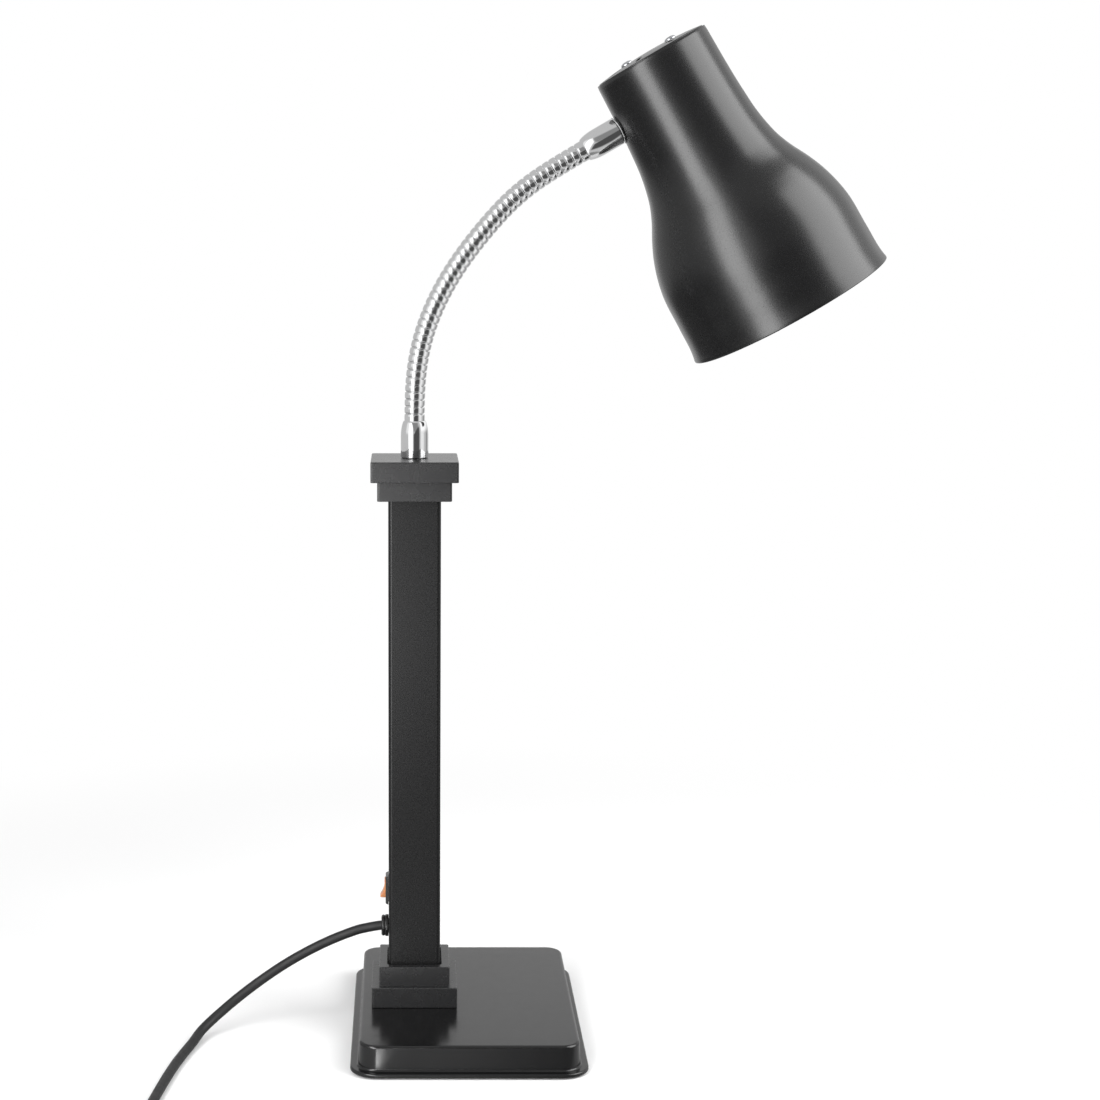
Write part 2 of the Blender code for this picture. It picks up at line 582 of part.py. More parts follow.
# outlines as (radius, height from the shade's top rim), up the shade's axis
HOLDER_PROFILE = [
    (0, -4.1), (23.6, -4.1), (23.6, -12.0), (19.5, -14.0), (19.5, -48.0), (14.0, -48.0),
    (14.0, -20.0), (0, -20.0)]
TOP_SCREW_PROFILE = [
    (0, 2.5), (1.6, 2.4), (3.0, 1.7), (3.7, 0.6), (3.7, -0.2), (1.9, -0.2), (1.9, -14.0),
    (0, -14.0)]
LAMP_CAP_PROFILE = [
    (4.0, -22.5), (9.0, -24.5), (13.2, -27.0), (13.2, -48.6), (11.8, -48.6), (11.8, -29.0),
    (4.0, -26.0)]
GLASS_INSIDE = [
    (0, -186.1), (37.2, -180.7), (53.0, -172.0), (59.7, -162.5), (61.1, -152.0),
    (58.6, -136.4), (51.7, -118.7), (27.8, -85.8), (18.7, -67.4), (15.4, -51.0),
    (9.4, -49.6), (9.4, -38.0)]
GLASS_OUTSIDE = [
    (10.6, -38.0), (10.6, -49.0), (16.5, -50.0), (20.0, -67.0), (29.0, -85.0), (53.0, -118.0),
    (60.0, -136.0), (62.5, -152.0), (61.0, -163.0), (54.0, -173.0), (38.0, -182.0),
    (0, -187.5)]
STEM_PROFILE = [(0, -34.0), (3.4, -34.0), (3.4, -74.0), (5.6, -80.0), (5.6, -84.0), (0, -84.0)]


class HeadFrame:
    """The shade's axis is square to the neck's end and crosses its line."""

    def __init__(self, neck_end, along):
        self.neck_end = neck_end
        self.along = along  # from the neck's end into the shade
        self.down = Vector((along.z, 0, -along.x))  # down the shade's axis
        reach = FERRULE_LEN + WASHER_LIFT + WASHER_T + WASHER_TO_SHADE + SHADE_R_AT_FERRULE
        self.top = neck_end + along * reach - self.down * FERRULE_DROP
        # own X across the head, own Y towards the ferrule, own Z up the shade's axis
        self.rotation = Matrix((Vector((0, 1, 0)), -along, -self.down)).transposed().to_quaternion()

    def at(self, below, toward=0.0, across=0.0):
        """A point below the rim, towards the ferrule and across (+Y), in mm."""
        return self.top + self.down * below - self.along * toward + Vector((0, across, 0))

    def hang(self, ob, below=0.0, toward=0.0):
        """Places a part with its own Z up the shade's axis."""
        return place(ob, self.at(below, toward), -self.down)

    def lay(self, ob, below, toward):
        """Places a part squared to the head's axes."""
        return orient(place(ob, self.at(below, toward)), self.rotation)


def build_shade(head):
    outer = [(radius, -below) for below, radius in SHADE_PROFILE]
    inner = [(radius - SHADE_WALL, z) for radius, z in reversed(outer)]
    shade = head.hang(turned("shade", outer + inner, BLACK_COAT, 40, closed=True))
    hole = cylinder("shade_tail_hole", TAIL_HOLE_R, 24)
    cut(shade, place(hole, head.at(FERRULE_DROP, SHADE_R_AT_FERRULE), head.along))


def build_washer(head):
    profile = [(11.8, WASHER_T), (11.8, 0), (TAIL_HOLE_R, 0), (TAIL_HOLE_R, WASHER_T)]
    washer = turned("ferrule_washer", profile, CHROME, 18, closed=True)
    place(washer, head.neck_end + head.along * (FERRULE_LEN + WASHER_LIFT), head.along)


def build_bracket(head):
    """A leg down the inside of the shade, bent over under the top plate, and its nut."""
    bracket = box("holder_bracket", (BRACKET_W, BRACKET_T, LEG_LEN), ZINC)
    head.lay(bracket, BRACKET_DROP + LEG_LEN / 2, LEG_OFFSET)
    flat = box("bracket_flat", (BRACKET_W, FLAT_LEN, BRACKET_T))
    join(bracket, head.lay(flat, BRACKET_DROP + BRACKET_T / 2,
                           LEG_OFFSET + BRACKET_T / 2 - FLAT_LEN / 2))
    hole = cylinder("bracket_tail_hole", TAIL_HOLE_R, 6, 16)
    cut(bracket, place(hole, head.at(FERRULE_DROP, LEG_OFFSET), head.along))
    nut_offset = LEG_OFFSET - BRACKET_T / 2 - GAP - UPPER_NUT_LEN / 2
    hex_nut("ferrule_nut_upper", "nut_bore_upper", NUT_R, UPPER_NUT_LEN, TAIL_HOLE_R, ZINC,
            head.at(FERRULE_DROP, nut_offset), head.at(FERRULE_DROP, LEG_OFFSET - 4), head.along)
    return bracket


def build_top_screws(head, plate, bracket, holder):
    """Two screws and their holes through plate, bracket and lamp holder."""
    for i, offset in enumerate(SCREW_OFFSETS):
        for ob, length in ((plate, 10), (bracket, 10), (holder, 26)):
            hole = cylinder(f"{ob.name}_screw_hole_{i + 1}", 2.3, length, 12)
            cut(ob, place(hole, head.at(3.0, offset), head.down))
        head.hang(turned(f"top_screw_{i + 1}", TOP_SCREW_PROFILE, ZINC, 16), 0.0, offset)


def cut_vents(head, plate):
    """A ring of slots, the first half a step round from the ferrule side."""
    step = 360 / VENT_COUNT
    for i in range(VENT_COUNT):
        angle = math.radians(step / 2 + step * i)
        slot = box(f"vent_slot_{i + 1}", (4.0, 11.0, 8.0))
        place(slot, head.at(1.2, VENT_RING_R * math.cos(angle), VENT_RING_R * math.sin(angle)))
        orient(slot, head.rotation @ Matrix.Rotation(-angle, 3, "Z").to_quaternion())
        cut(plate, slot)


def build_lamp(head):
    """Screw cap and blown glass reflector bulb."""
    head.hang(turned("lamp_cap", LAMP_CAP_PROFILE, BRASS, 18, closed=True))
    head.hang(turned("lamp_bulb", GLASS_INSIDE + GLASS_OUTSIDE, GLASS, 24))


def build_filament(head):
    """A stem with two splayed posts that carry a ring."""
    stem = head.hang(turned("lamp_filament", STEM_PROFILE, CERAMIC, 14))
    for i, side in enumerate((-1, 1)):
        start = head.at(81.0, 0, side * 3.5)
        end = head.at(104.6, 0, side * 13.8)
        post = cylinder(f"filament_post_{i + 1}", 0.8, (end - start).length, 8)
        join(stem, place(post, (start + end) / 2, end - start))
    ring = place(cylinder("filament_ring", 15, 2.4), head.at(RING_DROP), head.down)
    cut(ring, place(cylinder("filament_ring_bore", 12.6, 10), head.at(RING_DROP), head.down))
    join(stem, ring)


def build_head(head):
    build_shade(head)
    build_washer(head)
    bracket = build_bracket(head)
    plate = cylinder("top_plate", 43.3, PLATE_T, 36, BLACK_COAT)
    head.hang(plate, PLATE_DROP + PLATE_T / 2)
    holder = head.hang(turned("lamp_holder", HOLDER_PROFILE, CERAMIC, 20))
    build_top_screws(head, plate, bracket, holder)
    cut_vents(head, plate)
    build_lamp(head)
    build_filament(head)


build_cover()
build_ballast()
build_base_plate()
build_base_fixings()
build_collar()
build_tube()
build_post_foot()
build_cap()
build_switch_housing()
build_rocker()
build_terminals()
build_gland()
build_plug()
build_wires()
build_head(HeadFrame(*build_neck()))
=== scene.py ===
"""Heat lamp warmer: a square post on a flat base, a flexible neck and a lamp in a spun shade.

+Z is up and the viewer stands towards -Y. The neck bends in the XZ plane and meets the side of the
shade heading towards +X. The cord leaves the post's -X face, and its plug points towards -Y.
The drawing code works in millimetres, which the mesh builders turn into metres.
"""

import json
import math

import bmesh
import bpy
from mathutils import Matrix, Quaternion, Vector

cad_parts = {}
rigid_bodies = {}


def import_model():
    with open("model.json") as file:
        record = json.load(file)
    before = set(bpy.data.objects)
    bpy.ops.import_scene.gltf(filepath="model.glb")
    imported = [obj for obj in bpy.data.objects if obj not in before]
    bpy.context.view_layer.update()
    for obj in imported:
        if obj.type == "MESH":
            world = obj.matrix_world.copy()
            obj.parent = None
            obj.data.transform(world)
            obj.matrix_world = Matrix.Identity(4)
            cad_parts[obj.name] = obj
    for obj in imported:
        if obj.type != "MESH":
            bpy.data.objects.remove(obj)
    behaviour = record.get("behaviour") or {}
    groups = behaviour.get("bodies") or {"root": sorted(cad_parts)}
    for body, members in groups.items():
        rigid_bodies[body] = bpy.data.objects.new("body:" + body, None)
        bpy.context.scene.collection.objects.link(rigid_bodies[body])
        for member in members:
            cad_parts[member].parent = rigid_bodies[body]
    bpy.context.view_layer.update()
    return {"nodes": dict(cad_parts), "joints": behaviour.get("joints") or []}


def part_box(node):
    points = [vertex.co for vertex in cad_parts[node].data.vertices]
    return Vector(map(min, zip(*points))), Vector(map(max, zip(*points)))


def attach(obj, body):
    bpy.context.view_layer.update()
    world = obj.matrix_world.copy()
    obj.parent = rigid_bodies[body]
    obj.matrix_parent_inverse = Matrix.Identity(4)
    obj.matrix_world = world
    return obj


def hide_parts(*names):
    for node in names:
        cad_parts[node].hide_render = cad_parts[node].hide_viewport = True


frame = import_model()
nodes = frame["nodes"]

MM = 0.001  # a millimetre in metres


def box(name):
    """The low and high corners of a frame node, in millimetres."""
    low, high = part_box(name)
    return Vector(low) / MM, Vector(high) / MM


# ---------------------------------------------------------------- driving dimensions
TUBE_LOW, TUBE_HIGH = box("post_tube")
COVER_LOW, COVER_HIGH = box("base_cover")
COLLAR_LOW, COLLAR_HIGH = box("lower_collar")
CAP_LOW, CAP_HIGH = box("post_cap")
BEZEL_LOW, BEZEL_HIGH = box("switch_housing")
PLUG_LOW, PLUG_HIGH = box("plug_body")

POST_X = (TUBE_LOW.x + TUBE_HIGH.x) / 2
POST_HALF = (TUBE_HIGH.x - TUBE_LOW.x) / 2
POST_FACE = POST_X - POST_HALF  # the side with the switch and the cord
SOCKET_HALF = POST_HALF + 0.3  # the square hole round the post in the collar and the cap
SWITCH_Z = (BEZEL_LOW.z + BEZEL_HIGH.z) / 2
SWITCH_X = POST_FACE - 0.3  # where the bezel's back rests
GLAND_Z = 79.5
CORD_RADIUS = 3.7
CORD_REST_Z = 3.8  # the cord's centre where it lies on the table

neck = [joint for joint in frame["joints"] if joint["name"].startswith("neck_")]
neck.sort(key=lambda joint: 99 if joint["child"] == "head" else int(joint["child"].split("_")[1]))
anchors = [Vector(joint["pos_m"]) / MM for joint in neck]
screw_joint = next(joint for joint in frame["joints"] if joint["name"] == "lamp_screw")
DOWN = Vector(screw_joint["axis"]).normalized()  # down the shade's axis
ALONG = Vector((-DOWN.z, 0, DOWN.x))  # the neck's direction where it meets the shade
LINK = (anchors[1] - anchors[0]).length
directions = ([Vector((0, 0, 1))] + [(b - a).normalized() for a, b in zip(anchors, anchors[1:])]
              + [ALONG])
NECK_START = anchors[0] - directions[0] * LINK / 2
NECK_END = anchors[-1] + ALONG * LINK / 2
NECK_LENGTH = LINK * len(neck)
HOSE_RINGS = 46
FERRULE_LENGTH = 28.0
WASHER_GAP, WASHER_THICK, SHADE_GAP = 0.2, 0.9, 0.75

# the shade's outside: (distance down from its top, radius)
SHADE_PROFILE = (
    (0, 44.9), (56, 47.0), (76, 48.8), (88, 51.0), (98, 53.6), (108, 57.6), (124, 65.8),
    (134, 70.2), (146, 74.2), (160, 77.3), (190, 78.7), (212, 79.6), (218.0, 80.6),
)
SHADE_WALL = 1.0
WASHER_DROP = 37.7  # how far below the shade's top the neck meets it
WASHER_RADIUS = 45.9 + (47.0 - 45.9) * (WASHER_DROP - 30) / (56 - 30)  # the shade's radius there
TOP = (NECK_END + ALONG * (FERRULE_LENGTH + WASHER_GAP + WASHER_THICK + SHADE_GAP + WASHER_RADIUS)
       - DOWN * WASHER_DROP)  # the centre of the shade's top
PAN_SCREW_OFFSETS = (18.3, -18.3)  # from the shade's axis, against the neck's direction

PIECES = bpy.data.collections.new("finished")
bpy.context.scene.collection.children.link(PIECES)


# ---------------------------------------------------------------- shader graphs
class Graph:
    """Short ways of adding nodes to a shader tree."""

    def __init__(self, tree):
        self.tree = tree

    def put(self, socket, value):
        """Links the value if it is a socket, sets it otherwise."""
        if isinstance(value, bpy.types.NodeSocket):
            self.tree.links.new(value, socket)
        else:
            socket.default_value = value

    def node(self, kind, inputs=None, **properties):
        made = self.tree.nodes.new("ShaderNode" + kind)
        for key, value in properties.items():
            setattr(made, key, value)
        for key, value in (inputs or {}).items():
            self.put(made.inputs[key], value)
        return made

    def math(self, operation, *values):
        return self.node("Math", dict(enumerate(values)), operation=operation).outputs[0]

    def plus(self, a, b):
        return self.math("ADD", a, b)

    def times(self, a, b):
        return self.math("MULTIPLY", a, b)

    def rest(self, value):
        """One minus the value."""
        return self.math("SUBTRACT", 1.0, value)

    def ease(self, value, low, high, falling=False):
        """A smooth step from 0 to 1 between low and high, or from 1 to 0 when falling."""
        inputs = {"Value": value, "From Min": low, "From Max": high,
                  "To Min": 1.0 if falling else 0.0, "To Max": 0.0 if falling else 1.0}
        return self.node("MapRange", inputs, interpolation_type="SMOOTHSTEP").outputs["Result"]

    def azimuth(self, x, y):
        """Degrees round Z: 0 towards the viewer, positive towards +X."""
        return self.times(self.math("ARCTAN2", x, self.times(y, -1.0)), 180 / math.pi)

    def mix(self, amount, under, over):
        return self.node("MixShader", {"Fac": amount, 1: under, 2: over}).outputs[0]


# ---------------------------------------------------------------- materials
def finish(name, rgb, rough, metal=0.0, tint=0.06, tint_scale=45.0, rough_var=0.04,
           rough_scale=160.0, grain=None, peel=None, **inputs):
    """A procedural surface: colour drift, roughness drift, fine grain and a slower ripple.

    tint and rough_var are how far colour and roughness drift; the scales are noise frequencies
    per metre. grain and peel are (noise scale, bump height in metres). Other arguments are
    inputs of the Principled node, spaces written as underscores.
    """
    material = bpy.data.materials.new(name)
    material.use_nodes = True
    graph = Graph(material.node_tree)
    surface = material.node_tree.nodes["Principled BSDF"]
    position = graph.node("TexCoord").outputs["Object"]

    def noise(scale, detail=2.0):
        settings = {"Scale": scale, "Detail": detail, "Vector": position}
        return graph.node("TexNoise", settings).outputs["Fac"]

    ramp = graph.node("ValToRGB", {"Fac": noise(tint_scale, detail=4.0)})
    for stop, place, share in zip(ramp.color_ramp.elements, (0.3, 0.7), (1 - tint, 1 + tint)):
        stop.position = place
        stop.color = (*[min(1.0, channel * share) for channel in rgb], 1)
    graph.put(surface.inputs["Base Color"], ramp.outputs["Color"])

    span = graph.node("MapRange", {
        "Value": noise(rough_scale, detail=3.0), "From Min": 0.3, "From Max": 0.7,
        "To Min": max(0.02, rough - rough_var), "To Max": rough + rough_var})
    graph.put(surface.inputs["Roughness"], span.outputs["Result"])
    surface.inputs["Metallic"].default_value = metal

    normal = None
    for relief in (peel, grain):
        if not relief:
            continue
        scale, height = relief
        bump = graph.node("Bump", {"Strength": 1.0, "Distance": height, "Height": noise(scale)})
        if normal:
            graph.put(bump.inputs["Normal"], normal)
        normal = bump.outputs["Normal"]
    if normal:
        graph.put(surface.inputs["Normal"], normal)
    for key, value in inputs.items():
        surface.inputs[key.replace("_", " ")].default_value = value
    return material


LOOKS = {
    "base_paint": dict(rgb=(0.0045, 0.0045, 0.0047), rough=0.2, tint=0.1, rough_var=0.03,
                       grain=(1600, 0.000005), peel=(240, 0.000012)),
    "black_coat": dict(rgb=(0.0065, 0.0065, 0.0067), rough=0.26, tint=0.12, tint_scale=420,
                       rough_var=0.025, rough_scale=900, grain=(2100, 0.000016),
                       Specular_IOR_Level=0.45),
    "post_coat": dict(rgb=(0.0062, 0.0062, 0.0064), rough=0.28, tint=0.35, tint_scale=900,
                      rough_var=0.03, rough_scale=800, grain=(1500, 0.00001),
                      Specular_IOR_Level=0.25),
    "black_moulding": dict(rgb=(0.0135, 0.0135, 0.014), rough=0.27, tint=0.04, rough_var=0.012,
                           rough_scale=120, peel=(260, 0.000004)),
    "gloss_black": dict(rgb=(0.01, 0.01, 0.01), rough=0.16, tint=0.1, rough_var=0.03,
                        peel=(500, 0.00001)),
    "cord_pvc": dict(rgb=(0.014, 0.014, 0.0145), rough=0.5, tint=0.15, tint_scale=90,
                     rough_var=0.06, grain=(1800, 0.00002), peel=(260, 0.00002),
                     Specular_IOR_Level=0.3),
    "foot_rubber": dict(rgb=(0.022, 0.022, 0.022), rough=0.75, tint=0.15, grain=(1600, 0.00004)),
    "cast_iron": dict(rgb=(0.09, 0.088, 0.085), rough=0.72, metal=0.8, tint=0.25,
                      tint_scale=120, rough_var=0.1, grain=(700, 0.00015), peel=(160, 0.0002)),
    "zinc_steel": dict(rgb=(0.55, 0.56, 0.58), rough=0.3, metal=1.0, tint=0.07, tint_scale=70,
                       rough_var=0.08, rough_scale=220, grain=(900, 0.00001),
                       peel=(120, 0.00001)),
    "chrome": dict(rgb=(0.9, 0.903, 0.908), rough=0.085, metal=1.0, tint=0.015, tint_scale=120,
                   rough_var=0.025, rough_scale=300, peel=(150, 0.000004)),
    "brass": dict(rgb=(0.78, 0.6, 0.3), rough=0.24, metal=1.0, tint=0.08, tint_scale=150,
                  rough_var=0.07, grain=(1400, 0.00001)),
    "amber_rocker": dict(rgb=(0.49, 0.2, 0.078), rough=0.3, tint=0.12, tint_scale=120,
                         peel=(500, 0.00001), Subsurface_Weight=0.45, Subsurface_Scale=0.004,
                         Subsurface_Radius=(1.0, 0.35, 0.1)),
    "ceramic": dict(rgb=(0.86, 0.84, 0.79), rough=0.22, tint=0.03, tint_scale=60, rough_var=0.05,
                    peel=(130, 0.00004), Coat_Weight=0.3),
    "reflector": dict(rgb=(0.9, 0.9, 0.91), rough=0.12, metal=1.0, tint=0.02, tint_scale=60,
                      rough_var=0.05, peel=(90, 0.00003)),
    "wire_brown": dict(rgb=(0.2, 0.075, 0.025), rough=0.45, tint=0.1, grain=(1500, 0.00001)),
    "wire_blue": dict(rgb=(0.025, 0.1, 0.42), rough=0.45, tint=0.1, grain=(1500, 0.00001)),
    "lamp_glass": dict(rgb=(0.97, 0.975, 0.98), rough=0.05, tint=0.01, tint_scale=30,
                       rough_var=0.03, rough_scale=60, peel=(45, 0.00004),
                       Transmission_Weight=1.0, IOR=1.5),
}
MATERIALS = {name: finish(name, **look) for name, look in LOOKS.items()}


# ---------------------------------------------------------------- pieces and modifiers
def to_mesh(name, shape):
    """Turns a bmesh into mesh data and frees it."""
    data = bpy.data.meshes.new(name)
    shape.to_mesh(data)
    shape.free()
    return data


def smooth(data, sharp):
    """Smooth shading apart from edges sharper than an angle in degrees."""
    for polygon in data.polygons:
        polygon.use_smooth = True
    data.set_sharp_from_angle(angle=math.radians(sharp))


def add(name, shape, material, sharp=32.0):
    """Closes a bmesh into an object of the finished collection; its slot defaults to its material."""
    bmesh.ops.remove_doubles(shape, verts=shape.verts, dist=1e-7)
    bmesh.ops.recalc_face_normals(shape, faces=shape.faces)
    data = to_mesh(name, shape)
    smooth(data, sharp)
    data.materials.append(MATERIALS[material])
    piece = bpy.data.objects.new(name, data)
    PIECES.objects.link(piece)
    return piece


def place(piece, body, *stands_for):
    """Makes a piece ride a body and replace the frame nodes it stands for."""
    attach(piece, body)
    if stands_for:
        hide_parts(*stands_for)


def cut(piece, cutter):
    modifier = piece.modifiers.new("cut", "BOOLEAN")
    modifier.operation = "DIFFERENCE"
    modifier.solver = "EXACT"
    modifier.object = cutter


def settle(piece, sharp):
    """Applies a piece's modifiers and removes the cutters they used."""
    cutters = [modifier.object for modifier in piece.modifiers]
    depsgraph = bpy.context.evaluated_depsgraph_get()
    data = bpy.data.meshes.new_from_object(piece.evaluated_get(depsgraph))
    old = piece.data
    piece.modifiers.clear()
    piece.data = data
    bpy.data.meshes.remove(old)
    smooth(data, sharp)
    for cutter in cutters:
        bpy.data.objects.remove(cutter, do_unlink=True)


def weighted(piece):
    modifier = piece.modifiers.new("flat_faces", "WEIGHTED_NORMAL")
    modifier.keep_sharp = True
    modifier.weight = 100
    return piece


def bevel(piece, width, segments, angle):
    """Rounds the edges sharper than an angle in degrees."""
    modifier = piece.modifiers.new("edges", "BEVEL")
    modifier.width = width * MM
    modifier.segments = segments
    modifier.limit_method = "ANGLE"
    modifier.angle_limit = math.radians(angle)


# ---------------------------------------------------------------- outlines and curves
def fillet(corners, arc_steps=5, closed=False):
    """A polyline through (x, y, radius) corners, with an arc of that radius at each."""
    points = [Vector(corner[:2]) for corner in corners]
    count = len(points)
    out = []
    for i, corner in enumerate(points):
        radius = corners[i][2]
        if radius <= 0 or (not closed and i in (0, count - 1)):
            out.append(corner)
            continue
        back, ahead = points[i - 1] - corner, points[(i + 1) % count] - corner
        back_length, ahead_length = back.length, ahead.length
        back.normalize()
        ahead.normalize()
        half = math.acos(max(-1, min(1, back.dot(ahead)))) / 2
        if half > math.radians(88) or half < 1e-3:
            out.append(corner)
            continue
        tangent = min(radius / math.tan(half), back_length * 0.49, ahead_length * 0.49)
        radius = tangent * math.tan(half)
        centre = corner + (back + ahead).normalized() * (radius / math.sin(half))
        first, last = corner + back * tangent - centre, corner + ahead * tangent - centre
        turn = first.angle_signed(last)
        for k in range(arc_steps + 1):
            angle = -turn * k / arc_steps
            cos, sin = math.cos(angle), math.sin(angle)
            out.append(centre + Vector((first.x * cos - first.y * sin,
                                        first.x * sin + first.y * cos)))
    return out


def rectangle(half_x, half_y):
    return [(-half_x, -half_y), (half_x, -half_y), (half_x, half_y), (-half_x, half_y)]


def rounded_rect(half_x, half_y, radius, steps=8):
    radius = max(0.05, min(radius, half_x - 0.01, half_y - 0.01))
    in_x, in_y = half_x - radius, half_y - radius
    points = []
    for x, y, start in ((in_x, in_y, 0), (-in_x, in_y, 90), (-in_x, -in_y, 180), (in_x, -in_y, 270)):
        for k in range(steps + 1):
            angle = math.radians(start + 90 * k / steps)
            points.append((x + radius * math.cos(angle), y + radius * math.sin(angle)))
    return points


def circle(radius, steps):
    return [(radius * math.cos(2 * math.pi * i / steps), radius * math.sin(2 * math.pi * i / steps))
            for i in range(steps)]


def stadium(width, length, steps=8):
    """A slot with round ends, its length along y."""
    radius = width / 2
    straight = length / 2 - radius
    upper = [(radius * math.cos(math.pi * k / steps), straight + radius * math.sin(math.pi * k / steps))
             for k in range(steps + 1)]
    return upper + [(-x, -y) for x, y in upper]


def spline(knots, steps):
    """A Catmull-Rom curve through the knots, with so many steps a span."""
    knots = [Vector(knot) for knot in knots]
    knots = [2 * knots[0] - knots[1]] + knots + [2 * knots[-1] - knots[-2]]
    out = []
    for a, b, c, d in zip(knots, knots[1:], knots[2:], knots[3:]):
        for i in range(steps):
            t = i / steps
            out.append(0.5 * ((2 * b) + (c - a) * t + (2 * a - 5 * b + 4 * c - d) * t * t
                              + (3 * b - a - 3 * c + d) * t ** 3))
    out.append(knots[-2])
    return out


def hermite(start, start_slope, end, end_slope, t):
    return (start * (2 * t ** 3 - 3 * t ** 2 + 1) + start_slope * (t ** 3 - 2 * t ** 2 + t)
            + end * (-2 * t ** 3 + 3 * t ** 2) + end_slope * (t ** 3 - t ** 2))


def smooth_profile(points, step):
    """Points about every step along a smooth (distance, radius) curve through the given ones."""
    xs, ys = zip(*points)
    gaps = [b - a for a, b in zip(xs, xs[1:])]
    slopes = [(ys[i + 1] - ys[i]) / gaps[i] for i in range(len(gaps))]
    tangents = [slopes[0]]
    for i in range(1, len(slopes)):
        if slopes[i - 1] * slopes[i] <= 0:
            tangents.append(0.0)
        else:
            before, after = gaps[i - 1], gaps[i]
            tangents.append((slopes[i - 1] * after + slopes[i] * before) / (before + after))
    tangents.append(slopes[-1])
    out = []
    for i, gap in enumerate(gaps):
        count = max(1, int(round(gap / step)))
        for j in range(count):
            t = j / count
            out.append((xs[i] + gap * t,
                        hermite(ys[i], gap * tangents[i], ys[i + 1], gap * tangents[i + 1], t)))
    out.append((xs[-1], ys[-1]))
    return out


# ---------------------------------------------------------------- solids
def frame_of(axis):
    """Three square directions, the last along the axis and the second nearest to +Y."""
    z = Vector(axis).normalized()
    side = Vector((0, 1, 0))
    side = (side - z * side.dot(z)).normalized()
    return side.cross(z), side, z


def basis(x, y, z, origin):
    """The matrix, in metres, of three directions at an origin in millimetres."""
    matrix = Matrix((x, y, z)).transposed().to_4x4()
    matrix.translation = Vector(origin) * MM
    return matrix


def hoop(centre, x, y, radius, steps):
    """Points of a circle in the plane of two directions."""
    return [centre + (x * math.cos(angle) + y * math.sin(angle)) * radius
            for angle in (2 * math.pi * i / steps for i in range(steps))]


def loft(rings, loop=False, caps=True):
    """Quads between rings of points."""
    shape = bmesh.new()
    made = [[shape.verts.new(Vector(point) * MM) for point in ring] for ring in rings]
    pairs = list(zip(made, made[1:])) + ([(made[-1], made[0])] if loop else [])
    for a, b in pairs:
        for i in range(len(a)):
            j = (i + 1) % len(a)
            shape.faces.new((a[i], a[j], b[j], b[i]))
    if caps and not loop:
        shape.faces.new(made[0])
        shape.faces.new(list(reversed(made[-1])))
    return shape


def revolve(profile, origin, axis, steps, loop=False):
    """Turns (radius, height along the axis) pairs; unless looped they start and end on the axis."""
    x, y, z = frame_of(axis)
    shape = bmesh.new()
    rings = []
    for radius, height in profile:
        centre = Vector(origin) + z * height
        points = [centre] if radius < 1e-6 else hoop(centre, x, y, radius, steps)
        rings.append([shape.verts.new(point * MM) for point in points])
    pairs = list(zip(rings, rings[1:])) + ([(rings[-1], rings[0])] if loop else [])
    for a, b in pairs:
        for i in range(steps):
            j = (i + 1) % steps
            if len(a) == 1:
                shape.faces.new((a[0], b[j], b[i]))
            elif len(b) == 1:
                shape.faces.new((a[i], a[j], b[0]))
            else:
                shape.faces.new((a[i], a[j], b[j], b[i]))
    return shape


def turned(name, profile, origin, axis, material, steps=64, loop=False, sharp=32.0):
    return add(name, revolve(profile, origin, axis, steps, loop), material, sharp)


def upright(sections, centre_x, steps):
    """Level rounded rectangles from (half x, half y, corner radius, z)."""
    return [[(centre_x + x, y, z) for x, y in rounded_rect(half_x, half_y, corner, steps)]
            for half_x, half_y, corner, z in sections]


def prism(name, outline, thick, matrix):
    """A cutter: a straight prism of a 2-D outline, centred on the matrix."""
    shape = bmesh.new()
    low, high = ([shape.verts.new(matrix @ (Vector((x, y, z)) * MM)) for x, y in outline]
                 for z in (-thick / 2, thick / 2))
    for i in range(len(outline)):
        j = (i + 1) % len(outline)
        shape.faces.new((low[i], low[j], high[j], high[i]))
    shape.faces.new(list(reversed(low)))
    shape.faces.new(high)
    bmesh.ops.recalc_face_normals(shape, faces=shape.faces)
    cutter = bpy.data.objects.new(name, to_mesh(name, shape))
    bpy.context.scene.collection.objects.link(cutter)
    return cutter


def cut_cross(screw, face, out, depth):
    """Cuts a cross recess into a screw head at a point on its face."""
    x, y, z = frame_of(out)
    for k, degrees in enumerate((20.0, 110.0)):
        cos, sin = math.cos(math.radians(degrees)), math.sin(math.radians(degrees))
        matrix = basis(x * cos + y * sin, y * cos - x * sin, z, face)
        cut(screw, prism(f"cross_{k}", rectangle(2.0, 0.5), depth * 2, matrix))
    settle(screw, 30)


